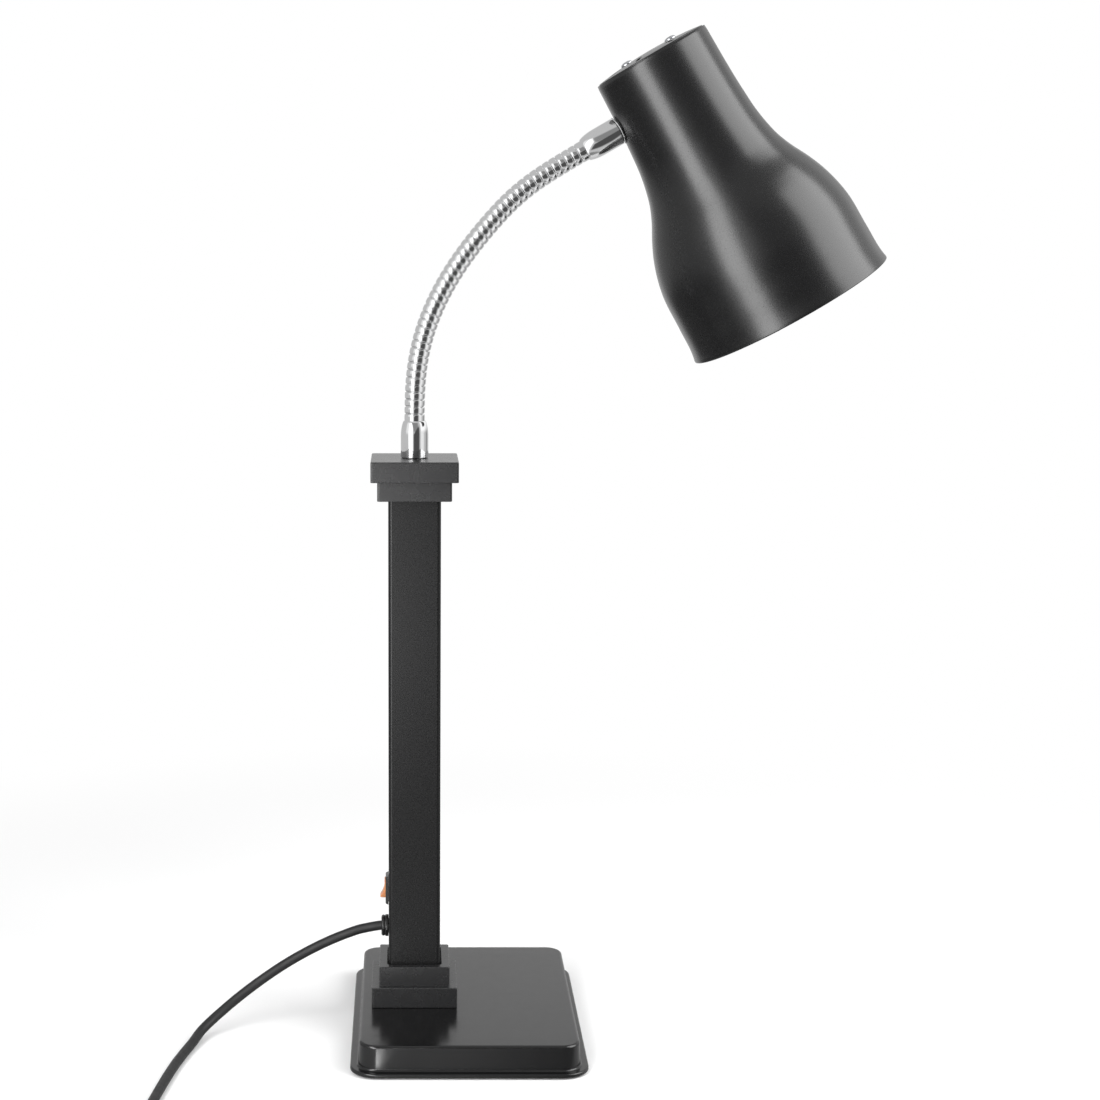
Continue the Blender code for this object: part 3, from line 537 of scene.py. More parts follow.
# ---------------------------------------------------------------- base
def build_base_cover():
    """A pressed sheet: a low flange round a raised flat top."""
    half_x = (COVER_HIGH.x - COVER_LOW.x) / 2
    half_y = (COVER_HIGH.y - COVER_LOW.y) / 2
    bottom, top = COVER_LOW.z, COVER_HIGH.z
    flange_top = bottom + 2.9
    sheet = 1.5
    flange = 6.35  # nominal width; it is 6.2 across x and 6.5 across y
    edge_corner, top_corner = 20.0, 14.0
    fill_inset = 30.0  # where the flat faces take over

    def rings(line):
        """Rings from (distance inside the flange's edge, z)."""
        sections = []
        for inset, z in line:
            share = min(1.0, inset / flange)
            more = max(0.0, inset - flange)
            corner = max(0.6, edge_corner - (edge_corner - top_corner) * share - more)
            sections.append((half_x - 6.2 * share - more, half_y - 6.5 * share - more, corner, z))
        return upright(sections, 0, 14)

    outside = fillet([(1.2, bottom, 0), (0.0, bottom, 0.7), (0.0, flange_top, 1.15),
                      (6.2, flange_top, 1.7), (6.9, top, 2.3), (fill_inset, top, 0)], 7)
    inside = fillet([(fill_inset, top - sheet, 0), (6.9 + sheet, top - sheet, 1.1),
                     (6.3 + sheet, bottom, 0.3), (1.2, bottom, 0)], 6)
    shape = loft(rings(outside), caps=False)
    inner_data = to_mesh("inside", loft(rings(inside), caps=False))
    shape.from_mesh(inner_data)
    bpy.data.meshes.remove(inner_data)
    bmesh.ops.remove_doubles(shape, verts=shape.verts, dist=2e-6)
    open_edges = [edge for edge in shape.edges if edge.is_boundary]
    for z in (top, top - sheet):
        level_edges = [edge for edge in open_edges
                       if all(abs(vert.co.z - z * MM) < 1e-6 for vert in edge.verts)]
        bmesh.ops.edgeloop_fill(shape, edges=level_edges)
    place(weighted(add("base_cover_pressed", shape, "base_paint", 40)), "stand", "base_cover")


def build_foot(i):
    low, high = box(f"rubber_foot_{i}")
    radius = (high.x - low.x) / 2
    profile = fillet([(0, 1.9, 0), (radius, 1.9, 0.15), (radius, 0, 0.6), (radius - 3.2, 0, 0.25),
                      (radius - 3.9, 0.6, 0.25), (0, 0.6, 0)], 4)
    centre = ((low.x + high.x) / 2, (low.y + high.y) / 2, 0)
    foot = turned(f"foot_moulded_{i}", profile, centre, (0, 0, 1), "foot_rubber", 40)
    place(foot, "stand", f"rubber_foot_{i}")


def build_plate_screw(i):
    low, high = box(f"plate_screw_{i}")
    face_z = 0.5
    profile = fillet([(0, 13.0, 0), (1.9, 13.0, 0.3), (1.9, 1.9, 0), (3.7, 1.9, 0.15),
                      (3.7, 1.0, 0.5), (2.2, face_z, 0.4), (0, face_z, 0)], 4)
    centre = Vector(((low.x + high.x) / 2, (low.y + high.y) / 2, 0))
    screw = turned(f"plate_screw_plated_{i}", profile, centre, (0, 0, 1), "zinc_steel", 32)
    cut_cross(screw, centre + Vector((0, 0, face_z)), (0, 0, -1), depth=1.0)
    place(screw, "stand", f"plate_screw_{i}")


def build_base():
    build_base_cover()
    for i in range(1, 5):
        build_foot(i)
        build_plate_screw(i)


# ---------------------------------------------------------------- post, collar and cap
def build_post():
    """A square tube with a cutout for the switch and a hole for the cord gland."""
    inside = POST_HALF - 1.5
    shape = loft(upright([(POST_HALF, POST_HALF, 2.8, TUBE_LOW.z),
                          (POST_HALF, POST_HALF, 2.8, TUBE_HIGH.z),
                          (inside, inside, 1.1, TUBE_HIGH.z),
                          (inside, inside, 1.1, TUBE_LOW.z)], POST_X, 10), loop=True)
    post = add("post_tube_coated", shape, "post_coat", 40)
    for name, outline, z in (("switch_cutout", rectangle(6.5, 9.6), SWITCH_Z),
                             ("gland_hole", circle(6.4, 40), GLAND_Z)):
        matrix = basis(Vector((0, -1, 0)), Vector((0, 0, 1)), Vector((-1, 0, 0)), (POST_FACE, 0, z))
        cut(post, prism(name, outline, 6, matrix))
    settle(post, 40)
    place(weighted(post), "stand", "post_tube")


def square_moulding(name, node, profile, wide_from, wide_corner, corner, loop=False):
    """Square rings round the post from (half width, z); those beyond wide_from have wide_corner."""
    sections = [(half, half, wide_corner if half > wide_from else corner, z) for half, z in profile]
    piece = add(name, loft(upright(sections, POST_X, 8), loop=loop), "black_moulding", 40)
    place(weighted(piece), "stand", node)


def build_collar():
    """A wide tier and a block above it, open round the post."""
    tier_half = (COLLAR_HIGH.x - COLLAR_LOW.x) / 2
    block_half = 27.25
    bottom, top = COLLAR_LOW.z, COLLAR_HIGH.z
    tier_top = top - 14.8
    profile = fillet([(SOCKET_HALF, bottom, 0), (tier_half, bottom, 0.25),
                      (tier_half, tier_top, 0.6), (block_half, tier_top, 0.2),
                      (block_half, top, 0.6), (SOCKET_HALF + 0.8, top, 0.2),
                      (SOCKET_HALF + 0.6, top - 2.6, 0), (SOCKET_HALF, top - 2.8, 0)])
    square_moulding("collar_moulded", "lower_collar", profile, loop=True,
                    wide_from=min(block_half - 0.01, SOCKET_HALF + 3), wide_corner=1.3, corner=2.4)


def build_cap():
    """A wide block over a narrower skirt, hollow round the top of the post."""
    half = (CAP_HIGH.x - CAP_LOW.x) / 2
    skirt_half = 28.15
    bottom, top = CAP_LOW.z, CAP_HIGH.z
    skirt_top = top - 15.6
    profile = fillet([(17.0, top - 4, 0), (17.0, skirt_top - 0.5, 0),
                      (SOCKET_HALF, skirt_top - 0.5, 0), (SOCKET_HALF, bottom, 0.2),
                      (skirt_half, bottom, 0.5), (skirt_half, skirt_top, 0.3),
                      (half, skirt_top, 0.5), (half, top, 0.75), (half - 6, top, 0)])
    square_moulding("cap_moulded", "post_cap", profile,
                    wide_from=skirt_half + 0.3, wide_corner=1.3, corner=1.6)


# ---------------------------------------------------------------- switch
# (half y, half z, corner radius, distance out of the post), body, lip and well in turn
BEZEL_SECTIONS = (
    (6.2, 9.3, 0.6, -13.4), (6.2, 9.3, 0.6, 0.0), (8.0, 11.3, 1.2, 0.0), (8.0, 11.3, 1.2, 0.25),
    (7.85, 11.2, 1.25, 0.7), (7.45, 10.85, 1.3, 1.75), (7.2, 10.6, 1.3, 2.08),
    (6.9, 10.3, 1.2, 2.2), (5.95, 9.3, 0.9, 2.2), (5.65, 8.75, 0.8, 2.1), (5.5, 8.45, 0.7, 1.8),
    (5.4, 8.2, 0.6, 0.0), (5.4, 8.2, 0.6, -10.8),
)
# the rocker's ends and back: (x, z) from its pivot
ROCKER_BACK = ((-3.6, -7.25), (-0.8, -6.7), (3.6, -2.6), (3.6, 2.6), (-0.8, 6.7), (-3.6, 7.25))


def build_bezel():
    rings = [[(SWITCH_X - out, y, SWITCH_Z + z) for y, z in rounded_rect(half_y, half_z, corner, 6)]
             for half_y, half_z, corner, out in BEZEL_SECTIONS]
    bezel = add("switch_bezel", loft(rings), "black_moulding", 34)
    place(weighted(bezel), "stand", "switch_housing")


def build_rocker():
    """A tilted rocker with a dished face."""
    half_length, half_width = 7.0, 5.0
    face = [(-3.2 - 1.5 * (abs(t) ** 1.7), half_length * t)
            for t in (i / 8 for i in range(8, -9, -1))]
    tilt = Matrix.Rotation(math.radians(14.0), 3, "Y")
    pivot = Vector((SWITCH_X - 0.3, 0, SWITCH_Z))
    rings = [[pivot + tilt @ Vector((x, y, z)) for x, z in face + list(ROCKER_BACK)]
             for y in (-half_width, half_width)]
    rocker = add("rocker_amber", loft(rings), "amber_rocker", 34)
    bevel(rocker, width=0.55, segments=3, angle=34)
    place(weighted(rocker), "rocker", "switch_rocker")


# ---------------------------------------------------------------- cord, gland and plug
# (distance from the post's axis towards -X, y, z)
CORD_ROUTE = (
    (8, 0, GLAND_Z), (16, 0, GLAND_Z), (26.5, 0, GLAND_Z - 0.2), (38, 0, 77.3),
    (47.5, 0, 74.7), (66.4, -0.5, 67.2), (85.5, -1.5, 57.8), (104.6, -4.5, 47.2),
    (126.2, -10.0, 33.4), (145.8, -19.0, 20.0), (163.0, -36.0, 8.8), (170.0, -57.0, 4.9),
    (176.0, -82.0, 3.9), (181.0, -111.0, CORD_REST_Z), (187.0, -160.0, CORD_REST_Z),
    (189.5, -190.0, CORD_REST_Z), (190.0, -212.0, 8.0), (190.0, -228.0, 12.4),
    (190.0, -239.0, 13.0), (190.0, -250.0, 13.0),
)
# the plug's body up to its widest part: (distance from the back, half x, half z, corner radius)
PLUG_SECTIONS = (
    (10.6, 6.3, 6.2, 9), (12.6, 7.6, 7.2, 9), (14.8, 10.0, 8.6, 8.5), (17.0, 12.6, 9.9, 8.2),
    (19.4, 14.7, 11.0, 8.0), (22.4, 16.1, 11.9, 7.8), (26.0, 16.4, 12.2, 7.6),
    (30.0, 16.1, 12.0, 7.4), (34.0, 16.2, 12.1, 7.3),
)
PLUG_X = (PLUG_LOW.x + PLUG_HIGH.x) / 2
PLUG_Z = (PLUG_LOW.z + PLUG_HIGH.z) / 2


def build_gland():
    """A collar with a groove, open for the cord."""
    profile = fillet([(4.1, 5.8, 0.5), (7.4, 5.8, 1.0), (8.2, 4.9, 0.9), (8.2, 3.5, 0.45),
                      (7.5, 3.05, 0.35), (8.6, 2.7, 0.7), (8.6, 0.3, 0.5), (6.0, 0.3, 0.2),
                      (6.0, -7.5, 0.5), (4.1, -7.5, 0.3)], closed=True)
    gland = turned("gland_moulded", profile, (POST_FACE, 0, GLAND_Z), (-1, 0, 0), "gloss_black",
                   48, loop=True)
    place(gland, "stand", "cord_gland")


def build_cord():
    knots = [(POST_X - out, y, z) for out, y, z in CORD_ROUTE]
    path = [Vector((point.x, point.y, max(point.z, CORD_REST_Z))) for point in spline(knots, 7)]
    rings = []
    side = Vector((0, 1, 0))
    for i, centre in enumerate(path):
        ahead = (path[min(len(path) - 1, i + 1)] - path[max(0, i - 1)]).normalized()
        side = (side - ahead * side.dot(ahead)).normalized()
        rings.append(hoop(centre, side, ahead.cross(side), CORD_RADIUS, 28))
    place(add("cord_sheath", loft(rings), "cord_pvc", 50), "stand", "power_cord")


def build_plug():
    half_x, half_z = (PLUG_HIGH.x - PLUG_LOW.x) / 2, (PLUG_HIGH.z - PLUG_LOW.z) / 2
    back, length = PLUG_HIGH.y, PLUG_HIGH.y - PLUG_LOW.y
    sections = []
    for k in range(6):  # the ribbed sleeve widens towards the body
        for step, radius in ((0.0, 4.7), (0.3, 5.35), (1.0, 5.35), (1.3, 4.7)):
            half = radius + 0.18 * k
            sections.append((k * 1.7 + step, half, half, 9))
    sections += PLUG_SECTIONS
    sections += [(distance, half_x - inset_x, half_z - inset_z, corner)
                 for distance, inset_x, inset_z, corner in (
                     (37.4, 0.25, 0.2, 7.1), (38.6, 0, 0, 7.0), (40.4, 0, 0, 7.0),
                     (41.3, 0.25, 0.25, 6.8), (41.8, 0.8, 0.8, 6.4), (length, 1.5, 1.5, 6.0))]
    rings = []
    for distance, section_x, section_z, corner in sections:
        middle_z = PLUG_Z - 0.2 if distance < 12 else PLUG_Z
        rings.append([(PLUG_X + x, back - distance, middle_z + z)
                      for x, z in rounded_rect(section_x, section_z, corner)])
    place(add("plug_moulded", loft(rings), "gloss_black", 40), "stand", "plug_body")


def build_pin(name, offset_x, offset_z, lean, length):
    """A flat pin with a tapered tip, leaning in the plug's face by so many degrees."""
    turn = Matrix.Rotation(math.radians(lean), 3, "Y")
    # (distance from the root, half thickness, half width)
    sections = ((0, 0.8, 3.15), (length - 2.2, 0.8, 3.15), (length - 1.0, 0.68, 2.85),
                (length - 0.25, 0.5, 2.3), (length, 0.3, 1.9))
    rings = []
    for distance, thick, wide in sections:
        centre = Vector((PLUG_X + offset_x, PLUG_LOW.y - 0.3 - distance, PLUG_Z + offset_z))
        rings.append([centre + turn @ Vector((x, 0, z))
                      for x, z in rounded_rect(thick, wide, 0.3, 4)])
    pin = add(f"pin_{name}_plated", loft(rings), "brass", 34)
    place(weighted(pin), "stand", f"plug_pin_{name}")


def build_supply():
    build_gland()
    build_cord()
    build_plug()
    build_pin("live", offset_x=-6.0, offset_z=3.0, lean=30.0, length=17.0)
    build_pin("neutral", offset_x=6.0, offset_z=3.0, lean=-30.0, length=17.0)
    build_pin("earth", offset_x=0.0, offset_z=-7.0, lean=0.0, length=20.0)


# ---------------------------------------------------------------- neck
hose_knots = [NECK_START] + [anchor + direction * LINK / 2
                             for anchor, direction in zip(anchors, directions[1:])]


def hose_point(length):
    """Centre and direction of the smooth hose at a length along it."""
    if length <= 0:
        return NECK_START + directions[0] * length, directions[0]
    if length >= NECK_LENGTH:
        return NECK_END + ALONG * (length - NECK_LENGTH), ALONG
    k = min(len(anchors) - 1, int(length / LINK))
    t = length / LINK - k
    start, end = hose_knots[k], hose_knots[k + 1]
    start_slope, end_slope = directions[k] * LINK, directions[k + 1] * LINK
    slope = (start * (6 * t ** 2 - 6 * t) + start_slope * (3 * t ** 2 - 4 * t + 1)
             + end * (-6 * t ** 2 + 6 * t) + end_slope * (3 * t ** 2 - 2 * t))
    return hermite(start, start_slope, end, end_slope, t), slope.normalized()


def ring_shape():
    """(share of the pitch, radius) from groove to groove: nearly flat, with round shoulders."""
    half = [(0.0, 6.75), (0.022, 6.8)]
    for degrees in (78, 64, 50, 37, 25, 12, 0):
        angle = math.radians(degrees)
        half.append((0.19 - 0.155 * math.sin(angle), 7.69 - 0.8 * (1 - math.cos(angle))))
    half += [(0.26, 7.735), (0.34, 7.775), (0.42, 7.795), (0.5, 7.8)]
    return half + [(1 - share, radius) for share, radius in reversed(half[1:-1])]


def sleeve(name, body, rows, *stands_for):
    """A chromed tube round the hose's line from (length along it, radius)."""
    rings = []
    for length, radius in rows:
        centre, ahead = hose_point(length)
        rings.append(hoop(centre, Vector((ahead.z, 0, -ahead.x)), Vector((0, 1, 0)), radius, 48))
    place(add(name, loft(rings), "chrome", 60), body, *stands_for)


def build_hose():
    pitch = NECK_LENGTH / HOSE_RINGS
    shape = ring_shape()
    bodies = ["stand"] + [joint["child"] for joint in neck]
    last = len(neck)
    # each body carries whole rings, and the neck bends in the grooves nearest its joints
    cuts = [0] + [int(math.floor(HOSE_RINGS * (k + 0.5) / last + 0.5))
                  for k in range(last)] + [HOSE_RINGS]
    # share of the pitch left free beside each joint, and at the hose's two ends
    room = [0.12 if "sway" in joint["name"] else 0.085 for joint in neck]
    end_room = 0.4
    tuck, tuck_radius = 5.0, 7.7  # the plain ends inside the ferrules
    mouth_radius = 7.46  # where a body's rings close beside a joint
    core_radius = 7.0

    for k, body in enumerate(bodies):
        low = end_room if k == 0 else room[k - 1]
        high = end_room if k == last else room[k]
        first_ring, last_ring = cuts[k], cuts[k + 1] - 1
        rows = [((ring + share) * pitch, radius)
                for ring in range(first_ring, last_ring + 1) for share, radius in shape
                if not (ring == first_ring and share < low)
                and not (ring == last_ring and share > 1 - high)]
        start = (-tuck, tuck_radius) if k == 0 else (rows[0][0], mouth_radius)
        end = (NECK_LENGTH + tuck, tuck_radius) if k == last else (rows[-1][0], mouth_radius)
        sleeve(f"hose_{k:02d}", body, [start] + rows + [end], f"neck_link_{k:02d}")
        if k < last:  # a rounded core shows in the groove where two bodies meet
            middle = cuts[k + 1] * pitch
            sleeve(f"hose_core_{k:02d}", body,
                   [(middle + t, math.sqrt(core_radius ** 2 - t * t))
                    for t in (-3.0, -2.2, -1.5, -0.8, -0.3, 0.3, 0.8, 1.5, 2.2, 3.0)])


# (radius, height from the wide end), from the hose's mouth down the outside
FERRULE_TAPER = [
    (6.6, 22.4), (7.95, 22.6), (7.95, 27.7), (8.25, 28.0), (8.55, 27.75), (8.95, 26.9),
    (9.35, 25.6), (9.75, 24.0), (10.08, 22.3), (10.33, 20.4), (10.48, 18.5), (10.55, 16.3),
    (10.55, 0.9), (10.4, 0.3), (9.9, 0.0), (5.0, 0.0),
]


def ferrule(name, origin, axis, stem):
    """A tapered ferrule with a hollow stem of a given length beyond its wide end."""
    profile = FERRULE_TAPER + [(5.0, -stem), (3.4, -stem), (3.4, 22.4)]
    return turned(name, profile, origin, axis, "chrome", 72, loop=True, sharp=40)


def saddle(piece, beyond=0.0):
    """Bends the part beyond a distance past the neck's end round the side of the shade."""
    for vertex in piece.data.vertices:
        point = vertex.co / MM
        if (point - NECK_END).dot(ALONG) < beyond:
            continue
        y = min(abs(point.y), 12.0)
        vertex.co += ALONG * ((WASHER_RADIUS - math.sqrt(WASHER_RADIUS ** 2 - y * y)) * MM)
    piece.data.update()


def build_ferrules():
    lower = ferrule("ferrule_lower_chromed", (POST_X, 0, CAP_HIGH.z + 0.3), (0, 0, 1), stem=12.0)
    place(lower, "stand", "ferrule_lower")

    upper = ferrule("ferrule_upper_chromed", NECK_END + ALONG * FERRULE_LENGTH, -ALONG, stem=11.2)
    saddle(upper, beyond=FERRULE_LENGTH - 0.95)
    place(upper, "head", "ferrule_upper")

    profile = fillet([(11.0, WASHER_THICK, 0.3), (11.0, 0, 0.3), (5.3, 0, 0.3),
                      (5.3, WASHER_THICK, 0.3)], 4, closed=True)
    washer = turned("washer_chromed", profile, NECK_END + ALONG * (FERRULE_LENGTH + WASHER_GAP),
                    ALONG, "chrome", 72, loop=True, sharp=40)
    saddle(washer)
    place(washer, "head", "ferrule_washer")


# ---------------------------------------------------------------- shade and top plate
# turned profiles of the head are (radius, height above the shade's top along its axis)
UP = -DOWN


def head_point(down, offset=0.0):
    """A point so far down the shade's axis, offset against the neck's direction."""
    return TOP + DOWN * down - ALONG * offset


def build_shade():
    curve = [(down, radius) for down, radius in smooth_profile(SHADE_PROFILE, 2.5)
             if 2.9 < down < 217.0]
    outside = [(radius, -down) for down, radius in curve]
    inside = [(radius - SHADE_WALL, -down) for down, radius in reversed(curve)]
    top, mouth = SHADE_PROFILE[0][1], SHADE_PROFILE[-1][1]
    rim = [(top - 0.85, -2.45), (top - 0.5, -2.2), (top - 0.15, -2.4)]
    lip = [(mouth - 0.02, -217.3), (mouth - 0.15, -217.75), (mouth - 0.5, -218.0),
           (mouth - 0.85, -217.75), (mouth - SHADE_WALL, -217.3)]
    shade = turned("shade_spun", rim + outside + lip + inside, TOP, UP, "black_coat", 176,
                   loop=True, sharp=60)
    place(shade, "head", "shade")


def build_top_plate():
    """A shallow dome with a ring of eight slots."""
    radius, edge, sheet = 43.3, -1.5, 1.5
    dome = [(r, edge + 3.2 * (1 - (r / radius) ** 2.1))
            for r in (0, 5, 10, 15, 20, 25, 29, 32, 35, 38, 40.5, 42.2)]
    profile = dome + fillet([(42.9, edge, 0), (radius, -1.9, 0.4), (radius, -3.4, 0.4),
                             (40.0, -3.4, 0)], 4)
    profile += [(r, min(height, -0.3) - sheet) for r, height in reversed(dome[:-2])]
    plate = turned("top_plate_vented", profile, TOP, UP, "black_coat", 112)
    for i in range(8):
        angle = math.radians(22.5 + 45 * i)
        out = -ALONG * math.cos(angle) + Vector((0, 1, 0)) * math.sin(angle)
        across = out.cross(UP)
        matrix = basis(across, out, across.cross(out), head_point(1.2) + out * 33.0)
        cut(plate, prism(f"vent_{i}", stadium(4.0, 11.0), 12, matrix))
    settle(plate, 32)
    place(weighted(plate), "head", "top_plate")


def build_pan_screws():
    height = 3.3
    profile = fillet([(0, height, 0), (2.0, 3.2, 1.5), (3.7, 2.6, 1.2), (4.5, 1.7, 0.6),
                      (4.5, 0.3, 0.15), (1.9, 0.3, 0), (1.9, -14.0, 0.3), (0, -14.0, 0)], 4)
    for i, offset in enumerate(PAN_SCREW_OFFSETS, 1):
        seat = head_point(0, offset)
        screw = turned(f"pan_screw_{i}", profile, seat, UP, "zinc_steel", 40)
        cut_cross(screw, seat + UP * height, UP, depth=1.1)
        place(screw, "head", f"top_screw_{i}")


# ---------------------------------------------------------------- holder and lamp
# (distance down, radius) of the bulb's outside, the last point on the axis
BULB_PROFILE = (
    (38.0, 10.6), (48.6, 10.6), (49.6, 14.6), (51.0, 16.4), (58.0, 18.0), (67.0, 20.2),
    (76.0, 24.0), (85.0, 29.6), (101.0, 41.0), (118.0, 53.0), (128.0, 57.8), (136.0, 60.2),
    (145.0, 61.9), (152.0, 62.4), (159.0, 61.9), (165.0, 59.8), (170.0, 56.4), (174.5, 51.5),
    (178.6, 45.0), (182.2, 36.5), (185.0, 26.0), (186.8, 14.0), (187.5, 0.0),
)


def build_holder():
    profile = fillet([(0, -4.1, 0), (23.6, -4.1, 1.4), (23.6, -12.0, 1.2), (19.5, -14.0, 1.5),
                      (19.5, -44.0, 1.0), (18.6, -48.0, 0.8), (14.0, -48.0, 0.8),
                      (14.0, -20.0, 0.4), (0, -20.0, 0)])
    holder = turned("holder_glazed", profile, TOP, UP, "ceramic", 64)
    for i, offset in enumerate(PAN_SCREW_OFFSETS):
        matrix = basis(*frame_of(UP), head_point(3.0, offset))
        cut(holder, prism(f"holder_hole_{i}", circle(2.3, 20), 26, matrix))
    settle(holder, 34)
    place(holder, "head", "lamp_holder")


def build_lamp_cap():
    """A hollow cap whose side ripples like a thread."""
    thread = []
    for k in range(36):
        down = 28.4 + k * 0.5
        thread.append((13.05 + 0.13 * math.cos(2 * math.pi * down / 3.6), -down))
    profile = ([(4.0, -22.5), (7.0, -22.9), (9.6, -24.4), (11.6, -25.6), (12.9, -27.2)] + thread
               + [(13.1, -48.0), (12.9, -48.6), (11.8, -48.6), (11.8, -29.0), (4.0, -26.0)])
    cap = turned("lamp_cap_threaded", profile, TOP, UP, "brass", 56, loop=True, sharp=50)
    place(cap, "lamp", "lamp_cap")


def build_bulb():
    """A blown bulb, silvered inside from its neck to near its widest part."""
    outside = [(radius, -down) for down, radius in BULB_PROFILE]
    # the wall thins at the neck, and the inside rises away from the outside below 160
    inside = [(radius - (1.2 if radius > 11 else 0.8),
               -(down if down < 160 else down - 1.1 * (down - 160) / 27.5))
              for down, radius in BULB_PROFILE[:-1]] + [(0.0, -186.3)]
    shape = revolve(list(reversed(inside)) + outside, TOP, UP, 96)
    bulb = add("bulb_blown", shape, "lamp_glass", 60)
    bulb.data.materials.append(MATERIALS["reflector"])
    for polygon in bulb.data.polygons:
        offset = polygon.center / MM - TOP
        down = offset.dot(DOWN)
        radial = offset - DOWN * down
        faces_in = polygon.normal.dot(radial.normalized()) < 0
        if 50.5 < down < 128.5 and faces_in and radial.length > 3:
            polygon.material_index = 1
    place(bulb, "lamp", "lamp_bulb")


build_base()
build_post()
build_collar()
build_cap()
build_bezel()
build_rocker()
build_supply()
build_hose()
build_ferrules()
build_shade()
build_top_plate()
build_pan_screws()
build_holder()
build_lamp_cap()
build_bulb()

# ---------------------------------------------------------------- frame nodes kept as they are
# node: (material, bevel width, 0 for none)
KEPT = {
    "base_ballast": ("cast_iron", 1.2), "base_plate": ("zinc_steel", 0.25),
    "post_foot": ("zinc_steel", 0.6), "post_bolt_1": ("zinc_steel", 0),
    "post_bolt_2": ("zinc_steel", 0), "gland_nut": ("gloss_black", 0.4),
    "switch_terminal_1": ("brass", 0.15), "switch_terminal_2": ("brass", 0.15),
    "lead_live_in": ("wire_brown", 0), "lead_switched": ("wire_brown", 0),
    "lead_neutral": ("wire_blue", 0), "ferrule_nut_lower": ("zinc_steel", 0.35),
    "ferrule_nut_upper": ("zinc_steel", 0.35), "holder_bracket": ("zinc_steel", 0.25),
    "lamp_filament": ("ceramic", 0),
}


def dress_kept_nodes():
    for name, node in nodes.items():
        if node.hide_render:
            continue
        material_name, bevel_width = KEPT[name]
        material = MATERIALS[material_name]
        if not node.material_slots:
            node.data.materials.append(material)
        for slot in node.material_slots:
            slot.material = material
        if bevel_width:
            bevel(node, bevel_width, segments=2, angle=40)


dress_kept_nodes()


# ---------------------------------------------------------------- floor
def floor_material():
    """A pale table; positions are in metres from the origin."""
    material = bpy.data.materials.new("pale_floor")
    material.use_nodes = True
    graph = Graph(material.node_tree)
    plus, times, rest, ease = graph.plus, graph.times, graph.rest, graph.ease
    surface = material.node_tree.nodes["Principled BSDF"]
    surface.inputs["Roughness"].default_value = 0.75
    surface.inputs["Specular IOR Level"].default_value = 0.15
    position = graph.node("NewGeometry").outputs["Position"]
    axes = graph.node("SeparateXYZ", {"Vector": position}).outputs
    x, y = axes["X"], axes["Y"]
    rays = graph.node("LightPath").outputs
    glossy, camera_ray = rays["Is Glossy Ray"], rays["Is Camera Ray"]

    # mirrored surfaces see the table darkened, most of all in front and to the right
    azimuth = graph.azimuth(x, y)
    in_front = times(ease(azimuth, -24, -12), rest(ease(azimuth, 44, 58)))
    in_front = times(in_front, rest(ease(y, -0.8, -0.3)))
    right = times(ease(x, -0.03, 0.085), rest(ease(y, -0.13, -0.11)))
    dim = plus(0.5, plus(times(in_front, 0.45), times(right, 0.36)))
    dim = times(glossy, graph.math("MINIMUM", dim, 0.97))
    colour = graph.node("Mix", {"A": (0.88, 0.88, 0.88, 1), "B": (0.03, 0.03, 0.03, 1),
                                "Factor": dim}, data_type="RGBA")
    graph.put(surface.inputs["Base Color"], colour.outputs["Result"])

    # away from the object the floor runs up into a white sweep
    distance = graph.node("VectorMath", {0: position}, operation="LENGTH").outputs["Value"]
    glow = graph.node("Emission", {"Color": (1, 1, 1, 1), "Strength": 1.0}).outputs[0]
    table = graph.mix(times(ease(distance, 0.35, 0.95), camera_ray), surface.outputs[0], glow)

    # mirrored rays pass beyond the table's edge
    clear = graph.node("BsdfTransparent").outputs[0]
    table = graph.mix(times(ease(distance, 0.42, 0.62), glossy), table, clear)

    # a painted glow on the table, seen only by mirrored rays: a narrow streak along y that paints a
    # highlight down the base's front-left corner
    painted_glint_x, painted_glint_width, painted_glint_strength = -0.0705, 0.0035, 15.0
    across = graph.math("DIVIDE", plus(x, -painted_glint_x), painted_glint_width)
    along = times(ease(y, -0.23, -0.2), rest(ease(y, -0.15, -0.126)))
    bell = graph.math("POWER", 2.718, times(times(across, across), -1.0))
    strength = times(times(times(bell, along), painted_glint_strength), glossy)
    painted_glint = graph.node("Emission", {"Strength": strength}).outputs[0]
    both = graph.node("AddShader", {0: table, 1: painted_glint}).outputs[0]
    graph.put(material.node_tree.nodes["Material Output"].inputs["Surface"], both)
    return material


def build_floor():
    shape = bmesh.new()
    bmesh.ops.create_circle(shape, cap_ends=True, segments=96, radius=14.0)
    floor = bpy.data.objects.new("floor", to_mesh("floor", shape))
    bpy.context.scene.collection.objects.link(floor)
    floor.data.materials.append(floor_material())


build_floor()


# ---------------------------------------------------------------- light
def soft_box(name, azimuth, distance, height, size, radiance, aim, roll=0.0):
    """A rectangular light, in metres and degrees; azimuth is from the viewer's side towards +X."""
    data = bpy.data.lights.new(name, "AREA")
    data.shape = "RECTANGLE"
    data.size, data.size_y = size
    data.energy = radiance * math.pi * size[0] * size[1]
    light = bpy.data.objects.new(name, data)
    bpy.context.scene.collection.objects.link(light)
    angle = math.radians(azimuth)
    light.location = (0.04 + distance * math.sin(angle), -distance * math.cos(angle), height)
    turn = (Vector(aim) - light.location).to_track_quat("-Z", "Y")
    turn = turn @ Quaternion((0, 0, 1), math.radians(roll))
    light.rotation_euler = turn.to_euler()
    return light


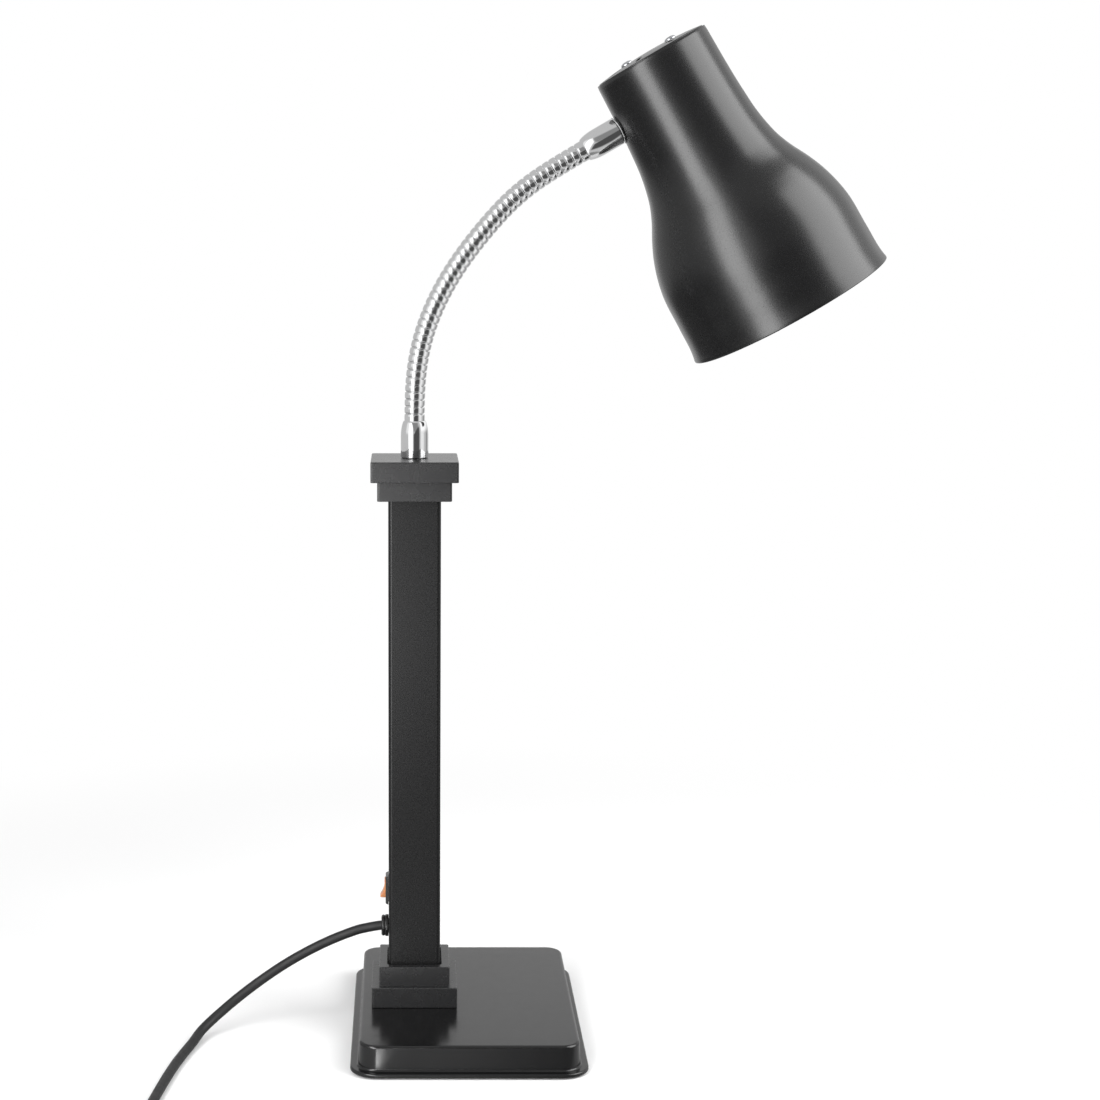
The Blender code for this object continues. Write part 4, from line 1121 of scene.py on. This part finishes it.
def build_lights():
    # the chromed pieces see the world's soft-edged panels instead of the lights
    chromed = bpy.data.collections.new("chromed")
    for piece in PIECES.objects:
        if piece.data.materials[0] == MATERIALS["chrome"]:
            chromed.objects.link(piece)
    for entry in chromed.collection_objects:
        entry.light_linking.link_state = "EXCLUDE"
    left = soft_box("soft_box_left", azimuth=-36, distance=1.1, height=0.78, size=(0.5, 1.9),
                    radiance=7.8, aim=(0.04, 0, 0.78), roll=26)
    right = soft_box("soft_box_right", azimuth=76, distance=1.3, height=1.3, size=(1.3, 1.6),
                     radiance=5.0, aim=(0.12, 0, 0.62))
    for light in (left, right):
        light.light_linking.receiver_collection = chromed


build_lights()


# ---------------------------------------------------------------- world
def build_world():
    """White to the camera, an even light to the scene, and a room of panels to mirrored rays."""
    world = bpy.data.worlds.new("studio")
    bpy.context.scene.world = world
    world.use_nodes = True
    world.node_tree.nodes.clear()
    graph = Graph(world.node_tree)
    plus, times, rest, ease = graph.plus, graph.times, graph.rest, graph.ease
    direction = graph.node("TexCoord").outputs["Generated"]
    axes = graph.node("SeparateXYZ", {"Vector": direction}).outputs
    azimuth = graph.azimuth(axes["X"], axes["Y"])
    elevation = times(graph.math("ARCSINE", axes["Z"]), 180 / math.pi)

    def window(value, low, high, low_soft, high_soft):
        """1 between low and high, each edge easing over so much on either side."""
        return times(ease(value, low - low_soft, low + low_soft),
                     ease(value, high - high_soft, high + high_soft, falling=True))

    def patch(across, rise):
        """Two windows in degrees, of azimuth and of elevation."""
        return times(window(azimuth, *across), window(elevation, *rise))

    def slope():
        """Elevation counted from a line that rises towards the left."""
        return plus(elevation, times(azimuth, 1.2))

    def constant(value):
        return plus(value, 0.0)

    def blend(under, over, amount):
        return plus(times(under, rest(amount)), times(over, amount))

    # brightness laid on in turn, each patch over the ones before
    level = constant(0.54)
    far_behind = times(ease(graph.math("ABSOLUTE", azimuth), 150, 164),
                       window(elevation, -30, 26, 8, 11))
    upper_front = times(ease(slope(), -4, 6), patch((-38, 34, 6, 8), (6, 42, 3, 5)))
    above = graph.math("MAXIMUM", elevation, 0.0)
    dark_front = times(ease(graph.math("SUBTRACT", azimuth, times(above, 2.0)), -11, -4),
                       times(ease(azimuth, 35, 49, falling=True),
                             window(elevation, -34, 19, 6, 5)))
    left_panel = times(window(azimuth, -52, -16, 4, 4),
                       times(window(elevation, -60, 42, 6, 5), ease(slope(), -5, 3, falling=True)))
    for brightness, amount in (
            (0.12, patch((-166, -56, 6, 5), (-70, -17, 6, 4))),  # low on the left
            (0.86, patch((-76, -49, 8, 7), (1, 42, 4, 6))),  # left wall
            (1.0, ease(elevation, 74, 82)),  # overhead
            (0.9, far_behind),
            (0.27, patch((108, 128, 5, 5), (-60, 2, 6, 5))),  # dip low on the right
            (0.88, patch((52, 84, 5, 8), (-60, 4, 6, 5))),  # strip low on the right
            (1.1, patch((55, 105, 5, 8), (4, 50, 5, 8))),  # right panel
            (1.0, patch((105, 150, 8, 6), (4, 50, 5, 8))),  # beyond the right panel
            (0.25, upper_front),
            (0.075, dark_front),
            (1.35, left_panel)):
        level = blend(level, constant(brightness), amount)

    rays = graph.node("LightPath").outputs
    strength = blend(constant(0.55), level, rays["Is Glossy Ray"])
    white = (1.0, 1.0, 1.0, 1)
    room = graph.node("Background", {"Color": white, "Strength": strength}).outputs[0]
    backdrop = graph.node("Background", {"Color": white, "Strength": 1.0}).outputs[0]
    graph.node("OutputWorld", {"Surface": graph.mix(rays["Is Camera Ray"], room, backdrop)})


build_world()


# ---------------------------------------------------------------- camera
def build_camera():
    data = bpy.data.cameras.new("camera")
    data.lens = 71.15
    data.sensor_width = 36.0
    data.shift_x = 0.1291
    data.clip_start, data.clip_end = 0.05, 60.0
    camera = bpy.data.objects.new("camera", data)
    bpy.context.scene.collection.objects.link(camera)
    camera.location = (-0.0458, -1.64607, 0.62756)
    downward_tilt = 0.1506  # radians
    camera.rotation_euler = (math.pi / 2 - downward_tilt, 0, 0)
    bpy.context.scene.camera = camera


build_camera()
bpy.context.scene.view_settings.view_transform = "Standard"
bpy.context.scene.view_settings.look = "None"

bpy.context.view_layer.update()
